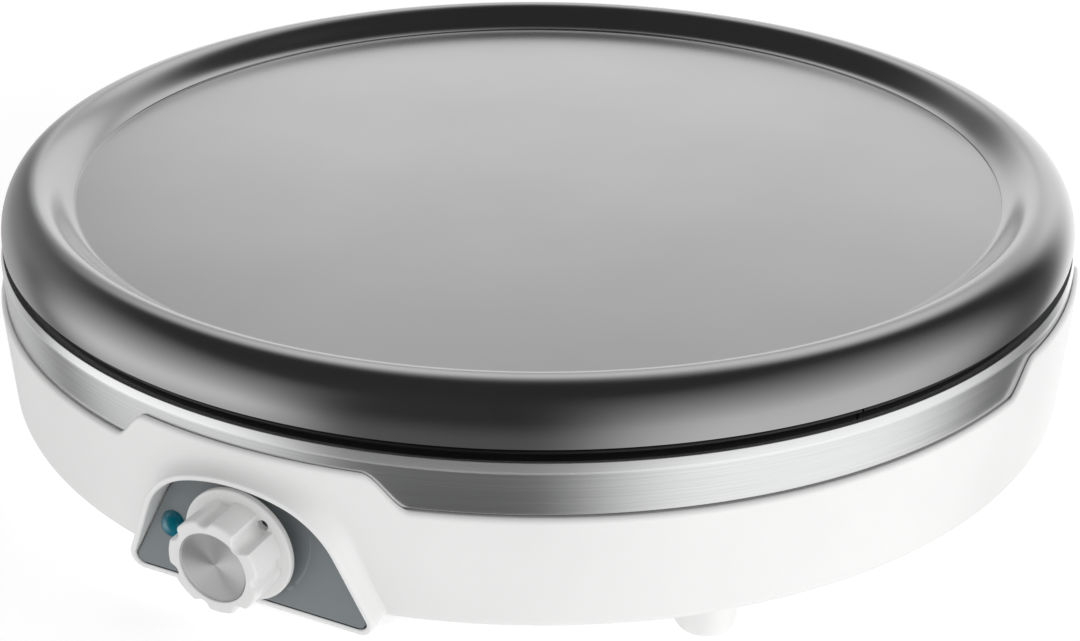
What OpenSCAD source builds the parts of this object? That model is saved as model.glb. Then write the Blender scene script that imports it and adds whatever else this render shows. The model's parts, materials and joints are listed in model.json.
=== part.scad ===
// Electric crepe maker: a cast round cooking plate on a moulded white base.
// Millimetres, +Z up. The table is z = 0, the plate's axis is the Z axis
// and the control panel faces -Y.

/* [Cooking plate] */
// Outside diameter of the cooking plate
plate_d = 400; // [380:1:440]
// Thickness of the plate under the flat cooking surface
plate_t = 6; // [5:0.5:7]
// Width of the raised rim, from the flat surface to the outside
rim_w = 26.4; // [25:0.2:29]
// Height of the rim's crest above the cooking surface
rim_h = 9.4; // [8:0.2:11]
// Distance from the rim's crest to the outside of the plate
crest_w = 13.4; // [12.4:0.2:14.4]
// How far the rim's skirt reaches below the cooking surface
skirt_drop = 8; // [7:0.5:9]
// Wall thickness of the hollow rim
rim_wall = 3; // [2:0.5:3.5]
// Depth of the fine step round the flat surface
step_h = 0.5; // [0.3:0.1:0.8]
// Width of the seat rib under the rim
seat_w = 4; // [3:0.5:5]
// Distance from the seat rib's outside to the outside of the plate
seat_inset = 16; // [15.5:0.5:17]

/* [Heating element] */
// Diameter of the tubular element
element_d = 8; // [6:0.5:9]
// Distance from the plate's edge to the element's outer loop
loop_inset = 60; // [55:1:66]
// Distance between the element's two loops
loop_pitch = 45; // [42:1:50]
// Half the angle left open at the front of each loop
loop_gap_a = 12; // [10:0.5:14]
// Bend radius where each cold end turns down
end_bend_r = 12; // [10:0.5:13]
// Straight length of each cold end below its bend
end_len = 3; // [1:0.5:5]
// Height of the ribs that hold the element under the plate
element_rib_h = 3; // [2:0.5:4]
// Wall left on each side of the element in its rib
element_rib_wall = 3; // [2:0.5:4]
// Width of the clamp straps
strap_w = 12; // [9:1:14]
// Thickness of the clamp straps
strap_t = 1.5; // [1:0.25:2]
// Number of clamp straps
strap_n = 5; // [3:1:6]
// Where the first clamp strap is, in degrees from the front
strap_first_a = 60; // [50:1:70]
// Angle from the first clamp strap to the last, in degrees
strap_span_a = 240; // [220:1:250]

/* [Heat reflector] */
// Distance from the plate's edge to the reflector pan's edge
reflector_inset = 30; // [26:1:36]
// Sheet thickness of the reflector pan
reflector_t = 0.8; // [0.6:0.1:1.2]
// Height of the pan's turned-up edge
reflector_edge_h = 8; // [5:0.5:9]
// Distance from the bosses under the plate to the pan
spacer_len = 10; // [9:0.5:12]

/* [Pillars] */
// Radius of the circle of pillars
pillar_r = 62; // [50:1:70]
// Number of pillars
pillar_n = 4; // [3:1:6]
// Diameter of each pillar
pillar_d = 12; // [10:0.5:14]
// Diameter of the studs and screws in the pillars
pillar_screw_d = 5; // [4:0.5:6]
// Depth of the bosses under the plate
boss_drop = 8; // [6:0.5:9]

/* [Insulating ring and trim band] */
// Height of the black insulating ring
ring_h = 6; // [5:0.2:8]
// Radial width of the insulating ring
ring_w = 20.6; // [19:0.2:22]
// How far the ring's bead stands inside the plate's edge
ring_inset = 1.4; // [1:0.1:2]
// Depth of the shadow grooves above and below the ring's bead
groove_depth = 2.3; // [1:0.1:2.5]
// Height of the shadow groove above the bead
groove_top_h = 1.2; // [0.8:0.1:1.5]
// Height of the shadow groove below the bead
groove_low_h = 3.4; // [2.2:0.1:3.5]
// Width of the joint in the insulating ring
ring_joint_w = 0.7; // [0.4:0.1:1.5]
// Where the joint is, in degrees from the front towards +X
ring_joint_a = 54.7; // [30:0.1:80]
// Height of the steel trim band
band_h = 15.2; // [12:0.2:18]
// Sheet thickness of the trim band
band_t = 0.8; // [0.5:0.1:1]
// How far the trim band stands out past the plate
band_proud = 1.1; // [0.6:0.1:2]
// Width of the sloping edge round the top of the trim band
band_edge_w = 2.5; // [1.5:0.1:3]
// Height of the sloping edge round the top of the trim band
band_edge_h = 2.8; // [1.5:0.1:3.5]
// How far the trim band's edge rises above the ring's seat
band_edge_rise = 1; // [0.5:0.1:1.5]

/* [Base housing] */
// Height of the base, from its underside to the cooking surface
base_h = 69; // [64:0.1:77]
// How far the base wall stands out past the trim band
wall_proud = 2; // [1.6:0.1:3]
// Wall thickness of the base
wall_t = 2.7; // [2:0.1:3]
// How far the base wall draws in from top to bottom
wall_draft = 1; // [0:0.1:2]
// Radius of the base's bottom edge
base_edge_r = 3; // [2:0.5:3.5]
// Gap between the trim band and the base wall
wall_gap = 0.6; // [0.3:0.1:1]
// Radial width of the ledge that carries the ring
ledge_w = 10; // [8:0.5:12]
// Half the angle of each shoulder that laps the trim band
shoulder_a = 15.1; // [13:0.1:17]
// How far the shoulders rise above the base wall
shoulder_h = 10.8; // [8:0.1:12]
// Length of the slope at each end of a shoulder
shoulder_run = 15; // [10:0.5:18]
// Diameter of the screw bosses
boss_d = 8; // [7:0.5:9]

/* [Control panel] */
// Height of the knob's axis above the base's underside
knob_h = 19.7; // [19.1:0.1:20.9]
// Height of the collar's crown above the knob's axis
crown_h = 23.1; // [22.5:0.1:23.8]
// Radius of the collar's crown
crown_r = 59; // [56:0.5:62]
// Radius of the collar's upper corners
corner_r = 28; // [26:0.5:30]
// Angle at which the crown meets the upper corners
crown_a = 17.2; // [16:0.1:18]
// Lean of the collar's sides from upright
side_a = 23.7; // [22:0.1:25]
// Radius of the collar's lower corners
foot_corner_r = 5; // [4:0.5:6]
// How far the collar's bottom reaches below the base's underside
collar_drop = 2.7; // [2:0.1:3]
// Wall thickness of the collar
collar_t = 2; // [1.5:0.1:2.4]
// How far the collar stands out past the base wall, at the knob's height
collar_proud = 3.9; // [3.4:0.1:5]
// Forward lean of the collar's front
collar_lean = 5.5; // [4:0.5:6]
// Depth of the fascia's face behind the collar's front, at the knob's height
fascia_depth = 6.4; // [6:0.1:7]
// Backward lean of the fascia
fascia_lean = 12; // [11:0.5:12.5]
// Thickness of the fascia
fascia_t = 2; // [1.5:0.1:2.2]
// Thickness of the moulded wall behind the fascia
panel_wall_t = 2.5; // [2:0.1:2.8]

/* [Knob] */
// Diameter of the knob's flange
flange_d = 38; // [36:0.5:39]
// Thickness of the knob's flange
flange_t = 2.2; // [1.6:0.1:2.4]
// Gap between the fascia and the knob's flange
flange_gap = 5.4; // [5:0.1:6.6]
// Diameter over the knob's lobes
grip_d = 31.6; // [30:0.2:33]
// Length of the knob's grip, from the flange to its front
grip_len = 13; // [12.8:0.2:13.2]
// Number of grooves round the grip
grip_n = 7; // [6:1:8]
// Width of each grip groove
groove_w = 5.6; // [4:0.1:5.8]
// Depth of each grip groove
grip_groove = 1.9; // [1:0.1:2.2]
// Clockwise turn of the pointer groove from the top, as the knob stands
pointer_a = 44.4; // [44:0.1:45]
// Diameter of the pointer hole through the flange
pointer_hole_d = 3; // [2:0.1:3.2]
// Diameter of the metal cap
cap_d = 23.4; // [22:0.2:24]
// Depth of the cap's conical dish
cap_dish = 1.2; // [0.6:0.1:1.5]
// Thickness of the metal cap at its edge
cap_t = 0.8; // [0.6:0.1:1]

/* [Thermostat] */
// Diameter of the spindle
spindle_d = 6; // [5:0.1:6.2]
// Flat cut from the spindle's D-shaped end
spindle_flat = 1.2; // [0.8:0.1:1.4]
// Width of the thermostat's body
thermostat_w = 34; // [30:1:36]
// Height of the thermostat's body
thermostat_h = 26; // [22:1:28]
// Length of the thermostat's body
thermostat_len = 22; // [20:1:24]
// Diameter of the threaded bush
bush_d = 10; // [9:0.5:11]
// Diameter of the push pin behind the spindle
pin_d = 3; // [2:0.1:4]
// Depth of the bracket's front behind the fascia's face
bracket_depth = 10.4; // [10:0.1:11]
// Sheet thickness of the bracket
bracket_t = 1.2; // [1:0.1:1.5]
// Diameter of the sensing bulb
bulb_d = 6; // [5:0.2:6.4]
// Length of the sensing bulb
bulb_len = 60; // [50:1:66]
// Diameter of the capillary tube
capillary_d = 2; // [1.6:0.1:2.4]

/* [Indicator] */
// Distance of the indicator to the left of the knob's axis
lens_x = 28.8; // [28.4:0.1:29.4]
// Drop of the indicator below the knob's axis, along the fascia
lens_drop = 4.5; // [4:0.1:6]
// Diameter of the indicator's lens
lens_d = 9; // [8:0.1:9.4]
// Diameter of the indicator's barrel
barrel_d = 7; // [6:0.1:7.4]

/* [Feet] */
// Height of the feet, from the table to the base's underside
foot_h = 12; // [11:0.1:14]
// Diameter of each foot at the base
foot_top_d = 20.8; // [19.6:0.1:21.4]
// Diameter of each foot at the table
foot_low_d = 18.9; // [18.2:0.1:19.4]
// Distance from the base wall's bottom to the centre of each foot
foot_inset = 12; // [11.4:0.1:12.6]
// Where the front feet are, in degrees from the front
foot_a = 41.5; // [36:0.5:52]
// Diameter of the rubber pads
pad_d = 9.6; // [8.6:0.1:9.8]
// How far the rubber pads stand out of the feet
pad_proud = 0.4; // [0.2:0.1:0.8]

/* [Base plate] */
// Distance from the base wall's bottom to the edge of the steel base plate
base_plate_inset = 26.1; // [26:0.1:29]
// Sheet thickness of the base plate
base_plate_t = 1.5; // [1:0.1:1.6]
// Number of base plate screws
base_screw_n = 8; // [6:1:12]
// Number of vent slots in each ring of slots
vent_n = 24; // [16:1:28]

/* [Mains inlet] */
// Height of the cord inlet above the base's underside
inlet_h = 18; // [17:0.5:21]
// Bore of the cord gland
inlet_bore_d = 7.4; // [6.4:0.1:8]
// How far the gland's end stands out past the base wall
gland_proud = 12.9; // [12:0.1:14]
// Diameter of the gland's threaded body
gland_body_d = 14; // [13:0.5:15]

/* [Hidden] */

eps = 0.01;
through = plate_d;
slip = 0.05;
play = 0.3;
fine = 96;
sheet_colour = "silver";

// Heights of the stack, from the cooking surface down
surface_z = foot_h + base_h;
under_z = surface_z - plate_t;
skirt_z = surface_z - skirt_drop;
ring_z = skirt_z - ring_h;
ledge_z = ring_z - band_t;
band_z = ring_z - band_h;
wall_z = band_z - wall_gap;
shoulder_z = wall_z + shoulder_h;

// Radii of the stack
plate_r = plate_d / 2;
well_r = plate_r - rim_w;
crest_r = plate_r - crest_w;
seat_r = plate_r - seat_inset;
bead_r = plate_r - ring_inset;
band_r = plate_r + band_proud;
upstand_r = band_r - band_t - slip;
wall_r = band_r + wall_proud;
wall_low_r = wall_r - wall_draft;
loop_out_r = plate_r - loop_inset;
loop_in_r = loop_out_r - loop_pitch;
reflector_d = plate_d - 2 * reflector_inset;
base_plate_d = 2 * (wall_low_r - base_plate_inset);
foot_r = wall_low_r - foot_inset;

// Distances of the panel's pieces from the plate's axis, and their heights
collar_dist = wall_r + collar_proud;
fascia_dist = collar_dist - fascia_depth;
flange_dist = fascia_dist + flange_gap + flange_t;
bracket_dist = fascia_dist - bracket_depth;
knob_z = foot_h + knob_h;
crown_z = knob_z + crown_h;
inlet_z = foot_h + inlet_h;
gland_end = wall_r + gland_proud;

// Round of arc points from angle a0 to a1, measured from +Z towards +X
function arc(c, r, a0, a1, n) =
  [for (i = [0:n]) let(a = a0 + (a1 - a0) * i / n) c + r * [sin(a), cos(a)]];

// Mirror image of points about the Z axis, in reverse order
function flip(points) =
  [for (i = [len(points) - 1:-1:0]) [-points[i][0], points[i][1]]];

// Copies at equal angles round the Z axis, the first turned by a0 from the front
module ring_of(n, r, a0 = 0) {
  for (i = [0:n - 1]) rotate(a0 + i * 360 / n) translate([0, -r, 0]) children();
}

// A cylinder along +Y that starts at y = y0
module rod_y(d, y0, len, fn = fine) {
  translate([0, y0, 0]) rotate([-90, 0, 0]) cylinder(h = len, d = d, $fn = fn);
}

// ---------------------------------------------------------------- fasteners

screw_head_k = 0.6;
screw_head_w = 1.9;
slot_k = 0.35;

// A pan-head cross-recess screw: its head sits on z = 0 and its shank points up
module screw(d, len) {
  head_h = d * screw_head_k;
  head_d = d * screw_head_w;
  difference() {
    union() {
      translate([0, 0, -head_h]) cylinder(h = head_h, d1 = head_d * 0.8, d2 = head_d, $fn = fine);
      cylinder(h = len, d = d, $fn = fine);
    }
    for (a = [0, 90]) rotate(a) translate([-head_d * slot_k, -d / 10, -head_h - eps])
      cube([head_d * slot_k * 2, d / 5, head_h / 2]);
  }
}

// A hexagon nut with its underside on z = 0
module hex_nut(across, h, bore) {
  difference() {
    cylinder(h = h, d = across / cos(30), $fn = 6);
    translate([0, 0, -eps]) cylinder(h = h + 2 * eps, d = bore, $fn = fine);
  }
}

// ------------------------------------------------------------ cooking plate

rim_n = 14;
under_shift = 2.5;
seat_rise = 11;

// S-shaped inner side of the rim, rising by h from radius r0 to the crest
function rim_rise(r0, z0, h) =
  [for (i = [0:rim_n]) let(t = i / rim_n)
    [r0 + (crest_r - r0) * t, z0 + h * (1 - cos(180 * t)) / 2]];

// Quarter ellipse from the crest down to the skirt's edge, inset by a wall
function rim_round(wall) =
  [for (i = [0:rim_n]) let(a = 90 * i / rim_n)
    [crest_r + (crest_w - wall) * sin(a), skirt_z + (rim_h + skirt_drop - wall) * cos(a)]];

function reverse(points) = [for (i = [len(points) - 1:-1:0]) points[i]];

plate_profile = concat(
  [[0, under_z], [0, surface_z], [well_r, surface_z], [well_r, surface_z + step_h]],
  rim_rise(well_r + step_h, surface_z + step_h, rim_h - step_h),
  rim_round(0),
  reverse(rim_round(rim_wall)),
  reverse(rim_rise(well_r + under_shift, under_z, plate_t + rim_h - rim_wall))
);

element_z = under_z - element_rib_h;
strap_z = element_z - element_d / 2;
clamp_r = (loop_out_r + loop_in_r) / 2;
bend_r = (loop_out_r - loop_in_r) / 2;
clamp_boss_d = 10;
clamp_screw_d = 4;
clamp_screw_len = 8;
bore_roof = 4;

function clamp_angle(i) = strap_first_a + strap_span_a * i / (strap_n - 1);

module at_clamps() {
  for (i = [0:strap_n - 1]) rotate(clamp_angle(i)) translate([0, -clamp_r, 0]) children();
}

pillar_first_a = 45;
pillar_boss_z = under_z - boss_drop;

module at_pillars() ring_of(pillar_n, pillar_r, pillar_first_a) children();

bulb_a = -34;
bulb_z = under_z - bulb_d / 2;
clip_screw_d = 3;
clip_boss_d = 7;
clip_len = 10;
clip_t = 0.8;
clip_boss_r = clamp_r - bulb_d / 2 - clip_boss_d / 2 - play;

module at_bulb(r = 0) rotate(bulb_a) translate([0, -r, 0]) children();

collar_grow = 0.4;
collar_len = 2;

module element_rib(r) {
  rib_w = element_d / 2 + element_rib_wall;
  rotate_extrude($fn = fine) translate([r - rib_w, element_z])
    square([2 * rib_w, element_rib_h + eps]);
}

bend_room_h = 1.6;
bend_room_w = 2 * (bend_r + element_d);

// Blind bore of a screw that comes up from z = z0 into the plate
module blind_bore(d, z0) {
  translate([0, 0, z0 - eps]) cylinder(h = surface_z - bore_roof - z0, d = d, $fn = fine);
}

module cooking_plate() color("dimgray") {
  difference() {
    union() {
      rotate_extrude($fn = fine) polygon(plate_profile);
      rotate_extrude($fn = fine) translate([seat_r - seat_w, skirt_z]) square([seat_w, seat_rise]);
      element_rib(loop_out_r);
      element_rib(loop_in_r);
      at_pillars() translate([0, 0, pillar_boss_z])
        cylinder(h = boss_drop + eps, d = pillar_d, $fn = fine);
      at_clamps() translate([0, 0, strap_z])
        cylinder(h = under_z - strap_z + eps, d = clamp_boss_d, $fn = fine);
      at_bulb(clip_boss_r) translate([0, 0, under_z - bulb_d])
        cylinder(h = bulb_d + eps, d = clip_boss_d, $fn = fine);
    }
    for (r = [loop_out_r, loop_in_r]) rotate_extrude($fn = fine)
      translate([r, element_z]) circle(d = element_d + collar_grow + 2 * slip, $fn = fine);
    rotate(-loop_gap_a) translate([-collar_len, -clamp_r - bend_room_w / 2, element_z - element_rib_h])
      cube([collar_len + bend_r + element_d, bend_room_w, 2 * element_rib_h + bend_room_h]);
    at_pillars() blind_bore(pillar_screw_d, pillar_boss_z);
    at_clamps() blind_bore(clamp_screw_d, strap_z);
    at_bulb(clip_boss_r) blind_bore(clip_screw_d, under_z - bulb_d);
  }
}

// ---------------------------------------------------------- heating element

element_len_a = 360 - 2 * loop_gap_a;
seal_wall = 0.5;
seal_d = element_d + 2 * seal_wall;
seal_h = 4;
tab_w = 6.3;
tab_t = 0.8;
tab_len = 12;
core_d = 3;
core_len = 4;

end_z = element_z - end_bend_r - end_len;
seal_z = end_z - seal_h;
tab_z = seal_z - core_len - tab_len;

module element_section(r) translate([r, 0]) circle(d = element_d, $fn = fine);

// Frame at the right-hand end of a loop of radius r, with +X along the tube's run out of the loop
module at_loop_end(r) rotate(loop_gap_a) translate([0, -r, element_z]) rotate(180) children();

module cold_end(r) at_loop_end(r) {
  translate([0, 0, -end_bend_r]) rotate([90, 0, 0])
    rotate_extrude(angle = 90, $fn = fine) element_section(end_bend_r);
}

// Crimped collar over a joint of the tube, along X
module tube_collar() rotate([0, 90, 0]) translate([0, 0, -collar_len / 2])
  cylinder(h = collar_len, d = element_d + collar_grow, $fn = fine);

module heating_element() color("slategray") {
  for (r = [loop_out_r, loop_in_r]) {
    at_loop_end(r) tube_collar();
    rotate(-loop_gap_a) translate([0, -r, element_z]) tube_collar();
    translate([0, 0, element_z]) rotate(loop_gap_a - 90)
      rotate_extrude(angle = element_len_a, $fn = fine) element_section(r);
    cold_end(r);
    at_loop_end(r) translate([end_bend_r, 0, -end_bend_r - end_len])
      cylinder(h = end_len, d = element_d, $fn = fine);
  }
  rotate(-loop_gap_a) translate([0, -clamp_r, element_z]) rotate(-90)
    rotate_extrude(angle = 180, $fn = fine) element_section(bend_r);
}

// Frame on the underside of each cold end, at height z
module at_cold_ends(z) {
  for (r = [loop_out_r, loop_in_r])
    at_loop_end(r) translate([end_bend_r, 0, z - element_z]) children();
}

module element_seals() color("ivory") at_cold_ends(seal_z)
  difference() {
    cylinder(h = seal_h, d = seal_d, $fn = fine);
    translate([0, 0, -eps]) cylinder(h = seal_h + 2 * eps, d = core_d + 2 * slip, $fn = fine);
  }

module element_tabs() color(sheet_colour) at_cold_ends(tab_z) {
  translate([0, 0, tab_len]) cylinder(h = core_len + seal_h, d = core_d, $fn = fine);
  translate([-tab_w / 2, -tab_t / 2, 0]) cube([tab_w, tab_t, tab_len]);
}

strap_len = loop_out_r - loop_in_r + element_d;

module element_clamps() color(sheet_colour) at_clamps() translate([0, 0, strap_z - strap_t])
  difference() {
    translate([-strap_w / 2, -strap_len / 2, 0]) cube([strap_w, strap_len, strap_t]);
    translate([0, 0, -eps]) cylinder(h = strap_t + 2 * eps, d = clamp_screw_d + 2 * play, $fn = fine);
  }

module clamp_screws() color(sheet_colour) at_clamps() translate([0, 0, strap_z - strap_t])
  screw(clamp_screw_d - 2 * slip, clamp_screw_len);

// -------------------------------------------------- reflector and pillars

pan_room = 2;
pan_z = pillar_boss_z - spacer_len;
pan_low_z = pan_z - reflector_t;
base_plate_gap = 0.2;
base_plate_z = foot_h + base_plate_t + base_plate_gap;
pillar_len = pan_low_z - base_plate_z;
stud_grip = 9;
stud_low = 12;
screw_grip = 14;

module plate_studs() color(sheet_colour) at_pillars() translate([0, 0, pan_low_z - stud_low])
  cylinder(h = stud_low + reflector_t + spacer_len + stud_grip, d = pillar_screw_d - 2 * slip, $fn = fine);

module reflector_spacers() color(sheet_colour) at_pillars() translate([0, 0, pan_z])
  difference() {
    cylinder(h = spacer_len, d = pillar_d, $fn = fine);
    translate([0, 0, -eps]) cylinder(h = spacer_len + 2 * eps, d = pillar_screw_d + 2 * slip, $fn = fine);
  }

module heat_reflector() color("lightgray") difference() {
  union() {
    translate([0, 0, pan_low_z]) cylinder(h = reflector_t, d = reflector_d, $fn = fine);
    translate([0, 0, pan_low_z]) difference() {
      cylinder(h = reflector_edge_h, d = reflector_d, $fn = fine);
      translate([0, 0, -eps])
        cylinder(h = reflector_edge_h + 2 * eps, d = reflector_d - 2 * reflector_t, $fn = fine);
    }
  }
  at_pillars() translate([0, 0, pan_low_z - eps])
    cylinder(h = reflector_t + 2 * eps, d = pillar_screw_d + 2 * slip, $fn = fine);
  at_cold_ends(pan_low_z - eps) cylinder(h = reflector_t + 2 * eps, d = seal_d + 2 * pan_room, $fn = fine);
  translate([capillary_x, capillary_y, pan_low_z - eps])
    cylinder(h = reflector_t + 2 * eps, d = capillary_d + 2 * pan_room, $fn = fine);
  translate([fuse_x, fuse_screw_y, pan_low_z - eps])
    cylinder(h = reflector_t + 2 * eps, d = clip_screw_d + 2 * slip, $fn = fine);
}

module support_pillars() color("gainsboro") at_pillars() translate([0, 0, base_plate_z])
  difference() {
    cylinder(h = pillar_len, d = pillar_d, $fn = fine);
    translate([0, 0, pillar_len - stud_low])
      cylinder(h = stud_low + eps, d = pillar_screw_d, $fn = fine);
    translate([0, 0, -eps]) cylinder(h = screw_grip + eps, d = pillar_screw_d, $fn = fine);
  }

module pillar_screws() color(sheet_colour) at_pillars() translate([0, 0, base_plate_z - base_plate_t])
  screw(pillar_screw_d - 2 * slip, screw_grip);

// ---------------------------------------------- insulating ring, trim band

ring_in_r = bead_r - ring_w;
groove_r = bead_r - groove_depth;

module insulating_ring() color([0.06, 0.06, 0.065]) difference() {
  rotate_extrude($fn = fine) polygon([
    [ring_in_r, ring_z], [groove_r, ring_z], [groove_r, ring_z + groove_low_h],
    [bead_r, ring_z + groove_low_h], [bead_r, skirt_z - groove_top_h],
    [groove_r, skirt_z - groove_top_h], [groove_r, skirt_z], [ring_in_r, skirt_z]
  ]);
  rotate(ring_joint_a) translate([-ring_joint_w / 2, -plate_r, ring_z - eps])
    cube([ring_joint_w, ring_w + ring_inset + groove_depth, ring_h + 2 * eps]);
}

band_lip_end = 1;
band_lip_w = ledge_w - band_lip_end;
band_edge_r = band_r - band_edge_w;
band_edge_z = ring_z + band_edge_rise;
band_turn_z = band_edge_z - band_edge_h - band_t / 2;
band_turn_w = (ledge_z - band_turn_z) * band_edge_w / band_edge_h;

// Seat for the ring, the sloping edge, the wall and the band's inside
band_profile = [
  [band_r - band_lip_w, ledge_z], [band_r - band_lip_w, ring_z],
  [band_edge_r - band_t, ring_z], [band_edge_r, band_edge_z],
  [band_r, band_edge_z - band_edge_h], [band_r, band_z], [band_r - band_t, band_z],
  [band_r - band_t, band_turn_z], [band_r - band_t - band_turn_w, ledge_z]
];

module trim_band() color(sheet_colour) rotate_extrude($fn = fine) polygon(band_profile);

// -------------------------------------------------------------- base housing

top_edge_r = 1.6;
floor_z = foot_h + wall_t;
recess_z = foot_h + base_plate_gap + base_plate_t;
recess_r = base_plate_d / 2 + play;
cover_lap = 9;
recess_web = 2.6;
under_ledge_r = upstand_r - wall_t;

housing_profile = concat(
  [[recess_r - cover_lap, recess_z], [recess_r, recess_z], [recess_r, foot_h]],
  reverse(arc([wall_low_r - base_edge_r, foot_h + base_edge_r], base_edge_r, 90, 180, 6)),
  reverse(arc([wall_r - top_edge_r, wall_z - top_edge_r], top_edge_r, 0, 90, 4)),
  [
    [upstand_r, wall_z], [upstand_r, band_turn_z], [upstand_r - band_turn_w, ledge_z],
    [upstand_r - ledge_w, ledge_z],
    [upstand_r - ledge_w, ledge_z - wall_t], [under_ledge_r, ledge_z - wall_t],
    [under_ledge_r, wall_z - wall_t], [wall_r - wall_t, wall_z - wall_t],
    [wall_low_r - wall_t, floor_z], [recess_r + recess_web, floor_z],
    [recess_r + recess_web, recess_z + recess_web], [recess_r - cover_lap, recess_z + recess_web]
  ]
);

shoulder_x = wall_r * sin(shoulder_a);
shoulder_n = 12;

// Front view of one shoulder: flat top, S-shaped ends
shoulder_outline = let(
  right = [for (i = [0:shoulder_n]) let(t = i / shoulder_n)
    [shoulder_x - shoulder_run + shoulder_run * t,
     shoulder_z - shoulder_h * (1 - cos(180 * t)) / 2]]
) concat(flip(right), right, [[shoulder_x, wall_z - wall_t], [-shoulder_x, wall_z - wall_t]]);

module shoulder() intersection() {
  rotate_extrude($fn = fine) polygon(concat(
    [[band_r + slip, shoulder_z]],
    arc([wall_r - top_edge_r, shoulder_z - top_edge_r], top_edge_r, 0, 90, 6),
    [[wall_r, wall_z - wall_t], [band_r + slip, wall_z - wall_t]]
  ));
  rotate([90, 0, 0]) linear_extrude(height = through) polygon(shoulder_outline);
}

// Outline of the collar seen from the front, drawn in by inset
function collar_outline(inset) = let(
  c1 = [0, crown_z - crown_r],
  c2 = c1 + (crown_r - corner_r) * [sin(crown_a), cos(crown_a)],
  side = 90 - side_a,
  n = [sin(side), cos(side)],
  low = foot_h - collar_drop + foot_corner_r,
  reach = (c2 + (corner_r - foot_corner_r) * n) * n,
  c3 = [(reach - low * n[1]) / n[0], low],
  right = concat(
    arc(c1, crown_r - inset, 0, crown_a, 6),
    arc(c2, corner_r - inset, crown_a, side, 14),
    arc(c3, foot_corner_r - inset, side, 180, 8)
  )
) concat(right, flip(right));

collar_back = bracket_dist;
panel_w = 2 * crown_r;

// Prism along Y with the collar's outline, from the back of the panel forwards
module collar_prism(inset, back = collar_back)
  translate([0, -back, 0]) rotate([90, 0, 0]) linear_extrude(height = crown_r) polygon(collar_outline(inset));

// Slab whose front face is the fascia's face moved back by depth
module fascia_slab(depth, t)
  translate([0, -fascia_dist, knob_z]) rotate([-fascia_lean, 0, 0])
    translate([-panel_w / 2, depth, -panel_w / 2]) cube([panel_w, t, panel_w]);

module lip_cut()
  translate([0, -collar_dist, knob_z]) rotate([collar_lean, 0, 0])
    translate([-panel_w / 2, -panel_w, -panel_w / 2]) cube([panel_w, panel_w, panel_w]);

// Closes the collar's back under the base's floor
module collar_sill() intersection() {
  collar_prism(collar_t / 2, collar_back - eps);
  translate([-panel_w / 2, -collar_back - wall_t, foot_h - collar_drop])
    cube([panel_w, 2 * wall_t, collar_drop + wall_t]);
}

// Frame on the fascia's face at the indicator, with +Z pointing into the panel
module at_lens()
  translate([0, -fascia_dist, knob_z]) rotate([-fascia_lean, 0, 0])
    translate([-lens_x, 0, -lens_drop]) rotate([-90, 0, 0]) children();

bracket_screw_x = 20.4;
bracket_screw_d = 3;
bracket_screw_len = 7;
spindle_hole_d = 18;
inlet_boss_d = 28.6;
inlet_boss_proud = 3.4;
inlet_boss_len = 10.5;
inlet_boss_out = wall_r + inlet_boss_proud;
inlet_boss_in = inlet_boss_out - inlet_boss_len;
cover_screw_d = 3.5;
cover_screw_r = recess_r - cover_lap / 2;
cover_screw_len = 9;
cover_boss_h = 10;
foot_screw_d = 4;
foot_screw_len = 12;
foot_boss_h = 13;
foot_boss_wall = 3;
boss_roof = 1;

module at_feet()
  for (a = [-foot_a, foot_a, 180 - foot_a, 180 + foot_a]) rotate(a) translate([0, -foot_r, 0]) children();

module at_cover_screws() ring_of(base_screw_n, cover_screw_r, 180 / base_screw_n) children();

module housing_bosses() {
  at_feet() translate([0, 0, foot_h + eps])
    cylinder(h = foot_boss_h, d = foot_screw_d + 2 * foot_boss_wall, $fn = fine);
  at_cover_screws() translate([0, 0, recess_z + eps]) cylinder(h = cover_boss_h, d = boss_d, $fn = fine);
  translate([0, 0, inlet_z]) rod_y(inlet_boss_d, inlet_boss_in, inlet_boss_out - inlet_boss_in);
  intersection() {
    for (x = [-bracket_screw_x, bracket_screw_x])
      translate([x, 0, knob_z]) rod_y(boss_d, -collar_dist, collar_dist - bracket_dist);
    fascia_slab(fascia_t + eps, panel_w);
  }
}

module base_housing() color("white") difference() {
  union() {
    difference() {
      union() {
        rotate_extrude($fn = fine) polygon(housing_profile);
        for (a = [0:90:270]) rotate(a) shoulder();
      }
      collar_prism(collar_t);
    }
    difference() {
      collar_prism(0);
      collar_prism(collar_t, collar_back - eps);
      lip_cut();
    }
    intersection() {
      collar_prism(collar_t / 2);
      fascia_slab(fascia_t, panel_wall_t);
    }
    collar_sill();
    housing_bosses();
  }
  rotate_extrude($fn = fine) translate([upstand_r, wall_z])
    square([band_r + slip - upstand_r, ledge_z - wall_z]);
  translate([0, 0, knob_z]) rod_y(spindle_hole_d, -collar_dist, collar_dist - bracket_dist + eps);
  for (x = [-bracket_screw_x, bracket_screw_x]) translate([x, 0, knob_z])
    rod_y(bracket_screw_d, -bracket_dist - bracket_screw_len, bracket_screw_len + eps);
  at_lens() cylinder(h = barrel_len, d = barrel_d + 2 * play, $fn = fine);
  at_feet() translate([0, 0, foot_h - eps]) cylinder(h = foot_screw_len, d = foot_screw_d, $fn = fine);
  at_cover_screws() translate([0, 0, recess_z - eps])
    cylinder(h = cover_boss_h - boss_roof, d = cover_screw_d, $fn = fine);
  translate([0, 0, inlet_z])
    rod_y(gland_body_d + 2 * slip, inlet_boss_in - inlet_boss_len, 3 * inlet_boss_len);
}

// ---------------------------------------------------------------- base plate

vent_w = 3;
vent_len = 14;
vent_pitch = 25;
vent_inset = 31;
vent_rows = [for (i = [2:-1:0]) base_plate_d / 2 - vent_inset - i * vent_pitch];

block_screw_d = 3;
block_d = 16;
block_gap = 1.3;
block_y = recess_r - cover_lap - block_gap - block_d / 2;
earth_x = vent_rows[0] - vent_pitch;

module at_vents() for (r = vent_rows) ring_of(vent_n, r) children();

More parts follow.
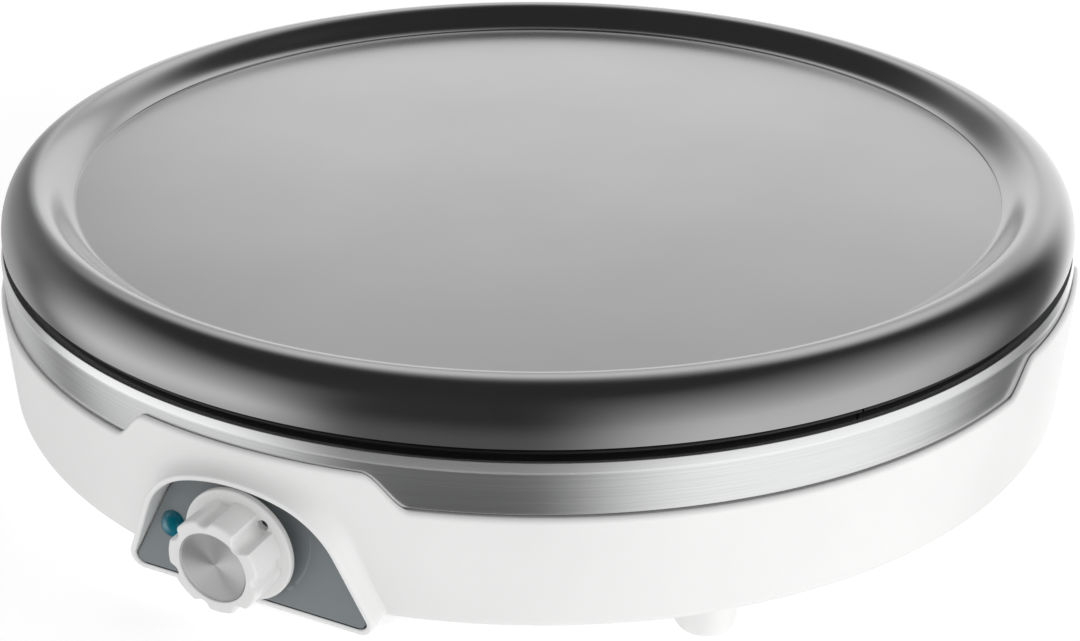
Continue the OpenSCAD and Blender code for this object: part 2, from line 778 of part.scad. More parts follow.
module base_plate() color("lightgray") difference() {
  translate([0, 0, base_plate_z - base_plate_t]) cylinder(h = base_plate_t, d = base_plate_d, $fn = fine);
  translate([0, 0, base_plate_z - base_plate_t - eps]) linear_extrude(height = base_plate_t + 2 * eps) {
    at_vents() translate([-vent_w / 2, -vent_len / 2]) square([vent_w, vent_len]);
    at_cover_screws() circle(d = cover_screw_d + 2 * slip, $fn = fine);
    at_pillars() circle(d = pillar_screw_d + 2 * slip, $fn = fine);
    translate([0, block_y]) circle(d = block_screw_d + 2 * slip, $fn = fine);
    translate([earth_x, 0]) circle(d = clip_screw_d + 2 * slip, $fn = fine);
  }
}

module base_plate_screws() color(sheet_colour) at_cover_screws()
  translate([0, 0, base_plate_z - base_plate_t]) screw(cover_screw_d - 2 * slip, cover_screw_len);

// ---------------------------------------------------------------------- feet

foot_edge_r = 4.1;
foot_cup_h = 3;
foot_screw_room = 3;
pad_t = pad_proud + foot_cup_h - screw_head_k * foot_screw_d;

foot_profile = concat(
  [[0, foot_cup_h + pad_proud], [pad_d / 2 + slip, foot_cup_h + pad_proud], [pad_d / 2 + slip, pad_proud]],
  reverse(arc([foot_low_d / 2 - foot_edge_r, pad_proud + foot_edge_r], foot_edge_r, 100, 180, 8)),
  [[foot_top_d / 2, foot_h], [0, foot_h]]
);

module feet() color("white") at_feet() difference() {
  rotate_extrude($fn = fine) polygon(foot_profile);
  cylinder(h = foot_h + eps, d = foot_screw_d + 2 * slip, $fn = fine);
}

module foot_screws() color(sheet_colour) at_feet() translate([0, 0, foot_cup_h + pad_proud])
  screw(foot_screw_d - 2 * slip, foot_h - foot_cup_h - pad_proud + foot_screw_len - foot_screw_room);

module foot_pads() color("gray") at_feet()
  cylinder(h = pad_t, d = pad_d, $fn = fine);

// -------------------------------------------------------------------- fascia

fascia_gap = 0.15;
hub_hole_d = 13;

module fascia() color([0.47, 0.5, 0.52]) difference() {
  intersection() {
    collar_prism(collar_t + fascia_gap);
    fascia_slab(0, fascia_t);
  }
  translate([0, 0, knob_z]) rod_y(hub_hole_d, -collar_dist, collar_dist - bracket_dist);
  at_lens() translate([0, 0, -fascia_t]) cylinder(h = 3 * fascia_t, d = barrel_d + 2 * play, $fn = fine);
}

// ---------------------------------------------------------------------- knob

hub_d = 11;
hub_stand = 2.4;
hub_end = fascia_dist + hub_stand;
knob_wall = 2;
knob_front = flange_dist + grip_len;
cap_seat = 1.6;
web_t = 2.4;
knob_back = flange_dist - flange_t;
spindle_front = knob_front - cap_seat - cap_t - web_t;

// Angle of each groove, clockwise from the top
function groove_angle(i) = pointer_a + i * 360 / grip_n;

// A frame at the knob's axis with +Z pointing out of the front, at distance dist
module at_knob(dist) translate([0, -dist, knob_z]) rotate([90, 0, 0]) children();

module grip_grooves() for (i = [0:grip_n - 1]) rotate(-groove_angle(i)) {
  translate([0, grip_d / 2 + groove_w / 2 - grip_groove, 0])
    cylinder(h = grip_len + eps, d = groove_w, $fn = fine);
  translate([-groove_w / 2, grip_d / 2 + groove_w / 2 - grip_groove, 0])
    cube([groove_w, groove_w, grip_len + eps]);
}

// D-shaped outline of the spindle or of the bore that takes it
module d_section(d, flat) difference() {
  circle(d = d, $fn = fine);
  translate([-d, d / 2 - flat]) square([2 * d, d]);
}

module control_knob() color("whitesmoke") difference() {
  union() {
    at_knob(knob_back) cylinder(h = flange_t, d = flange_d, $fn = fine);
    difference() {
      at_knob(knob_back) cylinder(h = flange_t + grip_len, d = grip_d, $fn = fine);
      at_knob(flange_dist) grip_grooves();
    }
    at_knob(hub_end) cylinder(h = knob_back - hub_end + eps, d = hub_d, $fn = fine);
  }
  at_knob(knob_back - eps) difference() {
    cylinder(h = knob_front - knob_back - cap_seat - cap_t - web_t,
      d = grip_d - 2 * grip_groove - 2 * knob_wall, $fn = fine);
    cylinder(h = through, d = hub_d, $fn = fine);
  }
  at_knob(hub_end - eps) linear_extrude(height = spindle_front - hub_end)
    d_section(spindle_d + 2 * slip, spindle_flat);
  at_knob(knob_front - cap_seat - cap_t)
    cylinder(h = cap_seat + cap_t + eps, d = cap_d + 2 * slip, $fn = fine);
  at_knob(knob_back - eps) rotate(-pointer_a)
    translate([0, grip_d / 2 - grip_groove + pointer_hole_d / 2 + slip, 0])
      cylinder(h = flange_t + 2 * eps, d = pointer_hole_d, $fn = fine);
}

cap_rim_w = 0.4;
cap_centre_d = 1;

module knob_cap() color(sheet_colour) at_knob(knob_front - cap_seat - cap_t) difference() {
  cylinder(h = cap_t + cap_dish, d = cap_d, $fn = fine);
  translate([0, 0, cap_t])
    cylinder(h = cap_dish + eps, d1 = cap_centre_d, d2 = cap_d - 2 * cap_rim_w, $fn = fine);
}

knob_clip_t = 0.5;
knob_clip_w = 4;
knob_clip_len = 10;
knob_clip_in = 1;

module knob_clip() color(sheet_colour) at_knob(hub_end + knob_clip_in)
  translate([-knob_clip_w / 2, spindle_d / 2 - spindle_flat - knob_clip_t - slip, 0])
    cube([knob_clip_w, knob_clip_t, knob_clip_len]);

// ---------------------------------------------------------------- thermostat

body_front = bracket_dist - bracket_t;
body_back = body_front - thermostat_len;
bush_len = 7;
bush_front = bracket_dist + bush_len;
bush_nut_h = 3.5;
bush_nut_w = 14;
spindle_depth = 13;
spindle_back = body_front - spindle_depth;
pin_gap = 0.7;
pin_front = spindle_back - pin_gap;
pin_proud = 5;
pin_back = body_back - pin_proud;
spindle_room = 0.4;

module thermostat_spindle() color(sheet_colour) {
  at_knob(hub_end) linear_extrude(height = spindle_front - hub_end - slip)
    d_section(spindle_d, spindle_flat + knob_clip_t + 2 * slip);
  at_knob(spindle_back) cylinder(h = hub_end - spindle_back, d = spindle_d, $fn = fine);
}

module thermostat_pin() color("ivory") at_knob(pin_back)
  cylinder(h = pin_front - pin_back, d = pin_d, $fn = fine);

module thermostat_body() color("tan") difference() {
  union() {
    translate([-thermostat_w / 2, -body_front, knob_z - thermostat_h / 2])
      cube([thermostat_w, thermostat_len, thermostat_h]);
    at_knob(body_front - eps) cylinder(h = bush_front - body_front + eps, d = bush_d, $fn = fine);
    translate([leaf_x, -body_back - eps, leaf_z]) cube([leaf_post_w, leaf_gap + eps, leaf_post_h]);
  }
  at_knob(spindle_back - spindle_room)
    cylinder(h = bush_front, d = spindle_d + 2 * slip, $fn = fine);
  at_knob(body_back - eps) cylinder(h = thermostat_len / 2, d = pin_d + 2 * slip, $fn = fine);
  for (x = [-tab_x, tab_x]) translate([x - tab_t / 2, -body_back - tab_root, knob_z - tab_w / 2])
    cube([tab_t, tab_root + eps, tab_w]);
}

module thermostat_nut() color(sheet_colour) at_knob(bracket_dist)
  hex_nut(bush_nut_w, bush_nut_h, bush_d + 2 * slip);

leaf_gap = 5.9;
leaf_t = 0.4;
leaf_w = 5;
leaf_post_w = 5;
leaf_post_h = 4;
leaf_x = -leaf_post_w / 2;
leaf_z = knob_z + thermostat_h / 2 - leaf_post_h;

module contact_leaf() color("goldenrod")
  translate([-leaf_w / 2, -body_back + leaf_gap, knob_z - leaf_w / 2])
    cube([leaf_w, leaf_t, thermostat_h / 2 + leaf_w / 2]);

tab_x = 11;
tab_root = 4;

module thermostat_tabs() color(sheet_colour) for (x = [-tab_x, tab_x])
  translate([x - tab_t / 2, -body_back - tab_root, knob_z - tab_w / 2])
    cube([tab_t, tab_root + tab_len, tab_w]);

bracket_w = 49;
bracket_h = 18;

module thermostat_bracket() color(sheet_colour) difference() {
  translate([-bracket_w / 2, -bracket_dist, knob_z - bracket_h / 2])
    cube([bracket_w, bracket_t, bracket_h]);
  translate([0, 0, knob_z]) rod_y(bush_d + 2 * slip, -bracket_dist - bracket_t, 3 * bracket_t);
  for (x = [-bracket_screw_x, bracket_screw_x])
    translate([x, 0, knob_z]) rod_y(bracket_screw_d + 2 * slip, -bracket_dist - bracket_t, 3 * bracket_t);
}

module bracket_screws() color(sheet_colour) for (x = [-bracket_screw_x, bracket_screw_x])
  translate([x, -bracket_dist + bracket_t, knob_z]) rotate([90, 0, 0])
    screw(bracket_screw_d - 2 * slip, bracket_screw_len);

// ------------------------------------------------------- swept tubes and leads

sweep_n = 5;
tube_n = 8;
first_side = [0.31, 0.52, 0.79];

// Point on a Catmull-Rom curve through a, b, c and d, between b and c
function curve_point(a, b, c, d, t) =
  0.5 * ((2 * b) + (c - a) * t + (2 * a - 5 * b + 4 * c - d) * t * t
    + (3 * b - a - 3 * c + d) * t * t * t);

function point(points, i) = points[max(0, min(len(points) - 1, i))];

// A smooth path through the points, with sweep_n steps for each span
function smooth_path(points) = concat(
  [for (i = [0:len(points) - 2], k = [0:sweep_n - 1])
    curve_point(point(points, i - 1), points[i], points[i + 1], point(points, i + 2), k / sweep_n)],
  [points[len(points) - 1]]
);

function unit(v) = v / norm(v);

function tangent(path, i) = unit(point(path, i + 1) - point(path, i - 1));

// Side vector carried along the path without twist
function carried(side, along) = unit(side - (side * along) * along);

function sides(path) = [for (
    i = 0, s = carried(first_side, tangent(path, 0));
    i < len(path);
    i = i + 1, s = i < len(path) ? carried(s, tangent(path, i)) : s
  ) s];

// A round tube of diameter d along a smooth path through the points
module tube_along(points, d) {
  path = smooth_path(points);
  side = sides(path);
  n = len(path);
  rings = [for (i = [0:n - 1]) let(u = side[i], v = cross(tangent(path, i), u))
    for (k = [0:tube_n - 1]) let(a = 360 * k / tube_n)
      path[i] + d / 2 * (cos(a) * u + sin(a) * v)];
  walls = [for (i = [0:n - 2], k = [0:tube_n - 1])
    let(a = i * tube_n + k, b = i * tube_n + (k + 1) % tube_n)
    each [[a, b + tube_n, b], [a, a + tube_n, b + tube_n]]];
  start = [[for (k = [0:tube_n - 1]) k]];
  end = [[for (k = [tube_n - 1:-1:0]) (n - 1) * tube_n + k]];
  polyhedron(points = rings, faces = concat(start, walls, end));
}

// End of the bulb that the capillary leaves
bulb_tip = [
  bulb_len / 2 * cos(bulb_a) + clamp_r * sin(bulb_a),
  bulb_len / 2 * sin(bulb_a) - clamp_r * cos(bulb_a),
  bulb_z
];
capillary_x = -0.2 * clamp_r;
capillary_y = -1.01 * clamp_r;
thermostat_top = [0, -(body_front + body_back) / 2, knob_z + thermostat_h / 2];

// Two points of a straight run of a lead or tube that leaves p
function run_out(p, way, len) = [p + way * slip, p + way * len];

capillary_route = concat(
  [
    bulb_tip, bulb_tip + [3, -0.5, -0.25] * capillary_d,
    [capillary_x - 1.5 * capillary_d, capillary_y + 0.5 * capillary_d, bulb_z - 3 * capillary_d],
    [capillary_x, capillary_y, pan_z],
    [capillary_x, capillary_y - 1.5 * capillary_d, pan_z - 4 * capillary_d],
    thermostat_top + [-8, 16.5, 0.6] * capillary_d, thermostat_top + [-3, 6, 2.6] * capillary_d
  ],
  reverse(run_out(thermostat_top, [0, 0, 1], 2 * capillary_d))
);

module thermostat_bulb() color("peru") {
  at_bulb(clamp_r) translate([-bulb_len / 2, 0, bulb_z]) rotate([0, 90, 0])
    cylinder(h = bulb_len, d = bulb_d, $fn = fine);
  tube_along(capillary_route, capillary_d);
}

module bulb_clip() color(sheet_colour) rotate(bulb_a) difference() {
  translate([-clip_len / 2, -clamp_r - bulb_d / 2, under_z - bulb_d - clip_t])
    cube([clip_len, clamp_r + bulb_d / 2 - clip_boss_r + clip_boss_d / 2, clip_t]);
  translate([0, -clip_boss_r, under_z - bulb_d - clip_t - eps])
    cylinder(h = clip_t + 2 * eps, d = clip_screw_d + 2 * slip, $fn = fine);
}

// ------------------------------------------------------------- thermal fuse

fuse_d = 5;
fuse_len = 16;
fuse_x = 0.22 * plate_r;
fuse_y = -0.52 * plate_r;
fuse_z = pan_low_z - fuse_d / 2;
fuse_clip_w = 8;
fuse_foot = 9;
fuse_screw_y = fuse_y + fuse_d / 2 + fuse_foot / 2 + clip_t;
pan_screw_len = 3;
bulb_screw_len = 6;

module thermal_fuse() color("ivory") translate([fuse_x - fuse_len / 2, fuse_y, fuse_z])
  rotate([0, 90, 0]) cylinder(h = fuse_len, d = fuse_d, $fn = fine);

// A strip bent to a hook: it holds the fuse up against the pan
module fuse_clip() color(sheet_colour) difference() {
  translate([fuse_x - fuse_clip_w / 2, fuse_y, pan_low_z]) rotate([90, 0, 90])
    linear_extrude(height = fuse_clip_w) polygon([
      [-fuse_d / 2, -fuse_d], [fuse_d / 2, -fuse_d], [fuse_d / 2, 0],
      [fuse_d / 2 + clip_t + fuse_foot, 0], [fuse_d / 2 + clip_t + fuse_foot, -clip_t],
      [fuse_d / 2 + clip_t, -clip_t], [fuse_d / 2 + clip_t, -fuse_d - clip_t],
      [-fuse_d / 2, -fuse_d - clip_t]
    ]);
  translate([fuse_x, fuse_screw_y, pan_low_z - clip_t - eps])
    cylinder(h = clip_t + 2 * eps, d = clip_screw_d + 2 * slip, $fn = fine);
}

module clip_screws() color(sheet_colour) {
  at_bulb(clip_boss_r) translate([0, 0, under_z - bulb_d - clip_t])
    screw(clip_screw_d - 2 * slip, bulb_screw_len);
  translate([fuse_x, fuse_screw_y, pan_low_z - clip_t]) screw(clip_screw_d - 2 * slip, pan_screw_len);
}

// ----------------------------------------------------------------- indicator

dome_h = 3;
dome_r = (lens_d * lens_d / 4 + dome_h * dome_h) / (2 * dome_h);
dome_a = asin(lens_d / 2 / dome_r);
barrel_len = 10;
barrel_wall = 0.9;
lamp_len = 12;
lamp_front = 1;

// The lens: a dome in front of the fascia and a hollow barrel through it
module indicator_lens() color([0, 0.42, 0.5]) at_lens() rotate_extrude($fn = fine) polygon(concat(
  [[0, 0]], arc([0, dome_r - dome_h], dome_r, 180, 180 - dome_a, 10),
  [
    [barrel_d / 2, 0], [barrel_d / 2, barrel_len], [barrel_d / 2 - barrel_wall, barrel_len],
    [barrel_d / 2 - barrel_wall, lamp_front], [0, lamp_front]
  ]
));

module indicator_lamp() color("ivory") at_lens() translate([0, 0, lamp_front])
  cylinder(h = lamp_len, d = barrel_d - 2 * barrel_wall - 2 * slip, $fn = fine);

// ------------------------------------------------- terminals and mains inlet

block_w = 32;
block_h = 14;
pole_n = 3;
pole_pitch = 10;
pole_bore = 3.2;
pole_h = 6;
pole_z = base_plate_z + pole_h;
block_screw_len = 4.5;
block_front = block_y - block_d / 2;
pole_x = [for (i = [0:pole_n - 1]) (i - (pole_n - 1) / 2) * pole_pitch];
pole_screw_d = 3;
pole_screw_len = 6;
earth_nut_h = 2.4;
earth_nut_w = 5.5;
earth_screw_end = 1;
tag_t = 0.8;
tag_len = 14;
tag_w = 7;

module terminal_block() color("ivory") difference() {
  translate([-block_w / 2, block_front, base_plate_z]) cube([block_w, block_d, block_h]);
  for (x = pole_x) {
    translate([x, 0, pole_z]) rod_y(pole_bore, block_front - eps, block_d + 2 * eps);
    translate([x, block_y, pole_z]) cylinder(h = block_h, d = pole_screw_d, $fn = fine);
  }
  translate([0, block_y, base_plate_z - eps]) cylinder(h = block_screw_len, d = block_screw_d, $fn = fine);
}

module terminal_screws() color(sheet_colour) {
  for (x = pole_x) translate([x, block_y, base_plate_z + block_h]) rotate([180, 0, 0])
    screw(pole_screw_d - 2 * slip, pole_screw_len);
  translate([0, block_y, base_plate_z - base_plate_t]) screw(block_screw_d - 2 * slip, block_screw_len);
}

module earth_tag() color(sheet_colour) difference() {
  translate([earth_x - tag_w / 2, -tag_w / 2, base_plate_z]) cube([tag_w, tag_len, tag_t]);
  translate([earth_x, 0, base_plate_z - eps])
    cylinder(h = tag_t + 2 * eps, d = clip_screw_d + 2 * slip, $fn = fine);
}

module earth_screw() color(sheet_colour) translate([earth_x, 0, base_plate_z - base_plate_t])
  screw(clip_screw_d - 2 * slip, base_plate_t + tag_t + earth_nut_h + earth_screw_end);

module earth_nut() color(sheet_colour) translate([earth_x, 0, base_plate_z + tag_t])
  hex_nut(earth_nut_w, earth_nut_h, clip_screw_d + slip);

push_w = 7.8;
push_t = 3.2;
push_len = 12;
push_start = 2;

// A push-on terminal whose mouth faces +Z, round a tab that comes down to z = push_start
module push_on() difference() {
  translate([-push_w / 2, -push_t / 2, -push_start]) cube([push_w, push_t, push_len]);
  translate([-tab_w / 2 - slip, -tab_t / 2 - slip, 0]) cube([tab_w + 2 * slip, tab_t + 2 * slip, push_len]);
}

tab_end = -body_back + tab_len;

module push_on_terminals() color(sheet_colour) {
  at_cold_ends(tab_z) push_on();
  for (x = [-tab_x, tab_x]) translate([x, tab_end, knob_z]) rotate([0, 90, 90]) rotate([0, 180, 0])
    push_on();
}

gland_flange_d = 22;
gland_flange_t = 2.5;
gland_nose_d = 17;
gland_tip_d = 13;
gland_nut_h = 4;
gland_nut_w = 22;
gland_tail = 2;
gland_in = inlet_boss_in - gland_nut_h - gland_tail;
gland_edge = 1;

module cord_gland() color([0.08, 0.08, 0.08]) translate([0, 0, inlet_z]) rotate([-90, 0, 0])
  rotate_extrude($fn = fine) polygon([
    [inlet_bore_d / 2, gland_in], [gland_body_d / 2, gland_in], [gland_body_d / 2, inlet_boss_out],
    [gland_flange_d / 2, inlet_boss_out], [gland_flange_d / 2, inlet_boss_out + gland_flange_t],
    [gland_nose_d / 2, inlet_boss_out + gland_flange_t],
    [gland_tip_d / 2, gland_end - gland_edge], [gland_tip_d / 2 - gland_edge, gland_end],
    [inlet_bore_d / 2, gland_end]
  ]);

module gland_nut() color([0.08, 0.08, 0.08]) translate([0, inlet_boss_in - gland_nut_h, inlet_z])
  rotate([-90, 0, 0]) hex_nut(gland_nut_w, gland_nut_h, gland_body_d + 2 * slip);

// --------------------------------------------------------------------- leads

lead_d = 2.6;
lamp_lead_d = 1.4;
lead_lift = 0.4;
lie_z = base_plate_z + lead_d / 2 + lead_lift;
lead_run = 3 * lead_d;
lamp_run = 3 * lamp_lead_d;
piggy = 2.4;
forwards = [0, -1, 0];
backwards = [0, 1, 0];
down = [0, 0, -1];

// Ends of the leads: poles of the block, tabs of the thermostat, cold ends, fuse and lamp
function pole(i) = [pole_x[i], block_front, pole_z];

function cold_end_at(r) = [
  r * sin(loop_gap_a) - end_bend_r * cos(loop_gap_a),
  -r * cos(loop_gap_a) - end_bend_r * sin(loop_gap_a),
  tab_z - push_start
];

tab_1 = [-tab_x, tab_end + push_start, knob_z];
tab_2 = [tab_x, tab_end + push_start, knob_z];
cold_in = cold_end_at(loop_in_r);
cold_out = cold_end_at(loop_out_r);
fuse_left = [fuse_x - fuse_len / 2, fuse_y, fuse_z];
fuse_right = [fuse_x + fuse_len / 2, fuse_y, fuse_z];
earth_end = [earth_x, tag_len - tag_w / 2, lie_z];
lamp_axis = [0, cos(fascia_lean), -sin(fascia_lean)];
lamp_end = [
  -lens_x, -fascia_dist - lens_drop * sin(fascia_lean), knob_z - lens_drop * cos(fascia_lean)
] + lamp_axis * (lamp_front + lamp_len);
lamp_side = [lamp_lead_d * 3 / 4, 0, 0];

// Point on the base plate, at shares x and y of the plate's radius, raised by lift lead diameters
function low(x, y, lift = 0) = [x * plate_r, y * plate_r, lie_z + lift * lead_d];

live_route = concat(
  run_out(pole(0), forwards, lead_run),
  [low(-0.075, 0.64, 0.5), low(-0.11, 0.56), low(-0.15, 0.3), low(-0.15, 0), low(-0.14, -0.3),
   low(-0.11, -0.52, 0.1), tab_1 + [-1.5, 8, -5.4] * lead_d],
  reverse(run_out(tab_1, backwards, lead_run))
);
neutral_route = concat(
  run_out(pole(1), forwards, lead_run),
  [low(0.02, 0.64, 0.5), low(0.03, 0.56), low(0.07, 0.25), low(0.08, 0), low(0.07, -0.25),
   low(0.055, -0.4, 0.4), cold_in + [0.6, 2.8, -6.4] * lead_d],
  reverse(run_out(cold_in, down, lead_run))
);
earth_route = concat(
  run_out(pole(2), forwards, lead_run),
  [low(0.075, 0.64, 0.5), low(0.16, 0.52), low(0.29, 0.35), low(0.34, 0.17)],
  reverse(run_out(earth_end, backwards, lead_run))
);
fuse_feed_route = concat(
  run_out(tab_2, backwards, lead_run),
  [tab_2 + [-0.4, 6.5, -0.3] * lead_d, tab_2 + [2, 11, 2.4] * lead_d,
   fuse_left + [-5.4, -3, -2.2] * lead_d],
  reverse(run_out(fuse_left, [-1, 0, 0], lead_run))
);
fuse_return_route = concat(
  run_out(fuse_right, [1, 0, 0], lead_run),
  [fuse_right + [3.8, -3.8, -2.7] * lead_d, cold_out + [12.5, 3.6, -0.8] * lead_d,
   cold_out + [6.4, 0.5, -4] * lead_d, cold_out + [1.8, -0.2, -5] * lead_d],
  reverse(run_out(cold_out, down, lead_run))
);
lamp_live_route = concat(
  run_out(lamp_end + lamp_side, lamp_axis, lamp_run),
  [lamp_end + [1.8, 4.2, -2.5] * lead_d, tab_1 + [0.4, -3.5, -5.5] * lead_d,
   tab_2 + [-3.5, 1.2, -6.2] * lead_d, tab_2 + [-1.2, 4.2, -4.9] * lead_d,
   tab_2 + [0, 4.8, -2.6] * lead_d],
  reverse(run_out(tab_2 + piggy * down, backwards, lamp_run))
);
lamp_neutral_route = concat(
  run_out(lamp_end - lamp_side, lamp_axis, lamp_run),
  [lamp_end + [0.6, 5.8, -2.4] * lead_d, lamp_end + [1, 16, -2.2] * lead_d,
   cold_in + [-10.8, -10.2, -5] * lead_d, cold_in + [-6.2, -3.7, -4.2] * lead_d,
   cold_in + [-2.3, -1.4, -3.8] * lead_d],
  reverse(run_out(cold_in - [piggy, 0, 0], down, lamp_run))
);

module live_lead() color("saddlebrown") tube_along(live_route, lead_d);

module switched_lead() color("black") {
  tube_along(fuse_feed_route, lead_d);
  tube_along(fuse_return_route, lead_d);
}

module neutral_lead() color("royalblue") tube_along(neutral_route, lead_d);

module earth_lead() color("yellowgreen") tube_along(earth_route, lead_d);

module lamp_leads() color("gray") {
  tube_along(lamp_live_route, lamp_lead_d);
  tube_along(lamp_neutral_route, lamp_lead_d);
}

cooking_plate();
plate_studs();
heating_element();
element_seals();
element_tabs();
element_clamps();
clamp_screws();
reflector_spacers();
heat_reflector();
support_pillars();
pillar_screws();
insulating_ring();
trim_band();
base_housing();
base_plate();
base_plate_screws();
feet();
foot_screws();
foot_pads();
fascia();
control_knob();
knob_cap();
knob_clip();
thermostat_spindle();
thermostat_pin();
thermostat_body();
thermostat_nut();
contact_leaf();
thermostat_tabs();
thermostat_bracket();
bracket_screws();
thermostat_bulb();
bulb_clip();
thermal_fuse();
fuse_clip();
clip_screws();
indicator_lens();
indicator_lamp();
terminal_block();
terminal_screws();
earth_tag();
earth_screw();
earth_nut();
push_on_terminals();
live_lead();
switched_lead();
neutral_lead();
earth_lead();
lamp_leads();
cord_gland();
gland_nut();
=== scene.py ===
"""Looks of the electric crepe maker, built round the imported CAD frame.

Lengths are in millimetres, apart from those of the camera, the floor and the lamp, which are in metres.
Angles are in degrees. Those round the plate's axis go from the front towards +X.
"""

import json
import math

import bmesh
import bpy
from mathutils import Euler, Matrix, Vector
from mathutils.geometry import tessellate_polygon


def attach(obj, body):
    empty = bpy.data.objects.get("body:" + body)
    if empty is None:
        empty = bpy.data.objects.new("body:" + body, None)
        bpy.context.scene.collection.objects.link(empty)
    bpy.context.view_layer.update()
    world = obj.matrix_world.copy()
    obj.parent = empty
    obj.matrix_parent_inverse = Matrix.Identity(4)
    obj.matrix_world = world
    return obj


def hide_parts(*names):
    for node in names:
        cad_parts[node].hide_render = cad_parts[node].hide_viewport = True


MM = 0.001

# ------------------------------------------------------------------- sizes
# The same values as in the part's source
PLATE_R = 200.0
SURFACE_Z = 81.0
PLATE_T = 6.0
WELL_R = 173.6
CREST_R = 186.6
RIM_H = 9.4
SKIRT_Z = 73.0
RIM_WALL = 3.0
STEP_H = 0.5
RING_Z = 67.0
BEAD_R = 198.6
RING_IN_R = 178.0
GROOVE_DEPTH = 2.3
GROOVE_TOP_H = 1.2
GROOVE_LOW_H = 3.4
JOINT_A = 54.7
JOINT_W = 0.7
BAND_R = 201.1
BAND_T = 0.8
BAND_Z = 51.8
BAND_EDGE_W = 2.5
BAND_EDGE_H = 2.8
BAND_EDGE_Z = 68.0
WALL_Z = 51.2
WALL_R = 203.1
WALL_LOW_R = 202.1
BASE_Z = 12.0
BASE_EDGE_R = 3.0
RECESS_R = 176.3
SHOULDER_Z = 62.0
SHOULDER_A = 15.1
SHOULDER_RUN = 15.0
KNOB_Z = 31.7
CROWN_Z = 54.8
CROWN_R = 59.0
CORNER_R = 28.0
CROWN_A = 17.2
SIDE_A = 23.7
LOW_CORNER_R = 5.0
COLLAR_LOW_Z = 9.3
COLLAR_BACK = 190.2
COLLAR_T = 2.0
COLLAR_DIST = 207.0
COLLAR_LEAN = 5.5
FASCIA_DIST = 200.6
FASCIA_LEAN = 12.0
FLANGE_R = 19.0
FLANGE_T = 2.2
FLANGE_DIST = 208.2
GRIP_R = 15.8
GRIP_LEN = 13.0
GRIP_N = 7
GROOVE_W = 5.6
GRIP_GROOVE = 1.9
POINTER_A = 44.4
CAP_R = 11.7
CAP_DISH = 1.2
CAP_SEAT = 1.6
LENS_X = 28.8
LENS_DROP = 4.5
LENS_R = 4.5
DOME_H = 3.0
FOOT_R = 190.1
FOOT_A = 41.5
FOOT_TOP_R = 10.4
FOOT_LOW_R = 9.45
FOOT_EDGE_R = 4.1
PAD_PROUD = 0.4
PAD_R = 4.8
INLET_Z = 30.0
BOSS_R = 14.3
BOSS_PROUD = 3.4
GLAND_BODY_R = 7.0

# Sizes that only the looks have, or have a little larger
BAND_EDGE_LEAN = 0.8
POINTER_GROOVE = 3.4
HOLE_R = 1.85
SCALE_R = 21.2

# ------------------------------------------------------------ frame, camera

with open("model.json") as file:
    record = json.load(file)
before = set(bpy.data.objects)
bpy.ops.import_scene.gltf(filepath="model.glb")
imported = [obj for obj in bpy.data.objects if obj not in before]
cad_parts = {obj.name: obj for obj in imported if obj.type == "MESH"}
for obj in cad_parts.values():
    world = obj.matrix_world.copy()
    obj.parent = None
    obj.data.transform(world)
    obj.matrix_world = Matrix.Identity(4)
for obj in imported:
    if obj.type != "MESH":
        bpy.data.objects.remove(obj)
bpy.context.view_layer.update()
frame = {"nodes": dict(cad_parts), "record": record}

CAMERA_LENS = 56.67
SENSOR_WIDTH = 36.0
CAMERA_SHIFT = 0.0092
CAMERA_CLIP = (0.01, 50.0)
CAMERA_PLACE = (0.2631, -0.5528, 0.3218)
CAMERA_TARGET = (-0.0024, -0.0012, 0.0132)
CAMERA_ROLL = 0.2


def aimed(place, target):
    """A place whose -Z looks at the target."""
    look = (Vector(target) - Vector(place)).to_track_quat("-Z", "Y").to_matrix().to_4x4()
    return Matrix.Translation(place) @ look


def add_camera():
    data = bpy.data.cameras.new("camera")
    data.lens = CAMERA_LENS
    data.sensor_width = SENSOR_WIDTH
    data.shift_x = CAMERA_SHIFT
    data.clip_start, data.clip_end = CAMERA_CLIP
    camera = bpy.data.objects.new("camera", data)
    bpy.context.scene.collection.objects.link(camera)
    roll = Matrix.Rotation(math.radians(CAMERA_ROLL), 4, "Z")
    camera.matrix_world = aimed(CAMERA_PLACE, CAMERA_TARGET) @ roll
    bpy.context.scene.camera = camera


add_camera()

# --------------------------------------------------------------- mesh tools
# A shell is a pair: a list of points in millimetres and a list of faces.

# In metres
MERGE_DIST = 1e-7


def arc(cx, cy, r, a0, a1, n):
    """Points on a circle; angles from +x towards +y."""
    steps = [math.radians(a0 + (a1 - a0) * i / n) for i in range(n + 1)]
    return [(cx + r * math.cos(a), cy + r * math.sin(a)) for a in steps]


def rounded(points, steps=6):
    """A polyline of (x, y, radius) corners with each corner rounded by its radius."""
    path = []
    last = len(points) - 1
    for i, (x, y, radius) in enumerate(points):
        if radius <= 0 or i in (0, last):
            path.append((x, y))
            continue
        corner = Vector((x, y))
        before = (Vector(points[i - 1][:2]) - corner).normalized()
        after = (Vector(points[i + 1][:2]) - corner).normalized()
        half = before.angle(after) / 2
        reach = radius / math.tan(half)
        centre = corner + (before + after).normalized() * radius / math.sin(half)
        start = corner + before * reach - centre
        end = corner + after * reach - centre
        turn = start.angle_signed(end)
        for k in range(steps + 1):
            spoke = start.copy()
            spoke.rotate(Matrix.Rotation(-turn * k / steps, 2))
            path.append(tuple(centre + spoke))
    return path


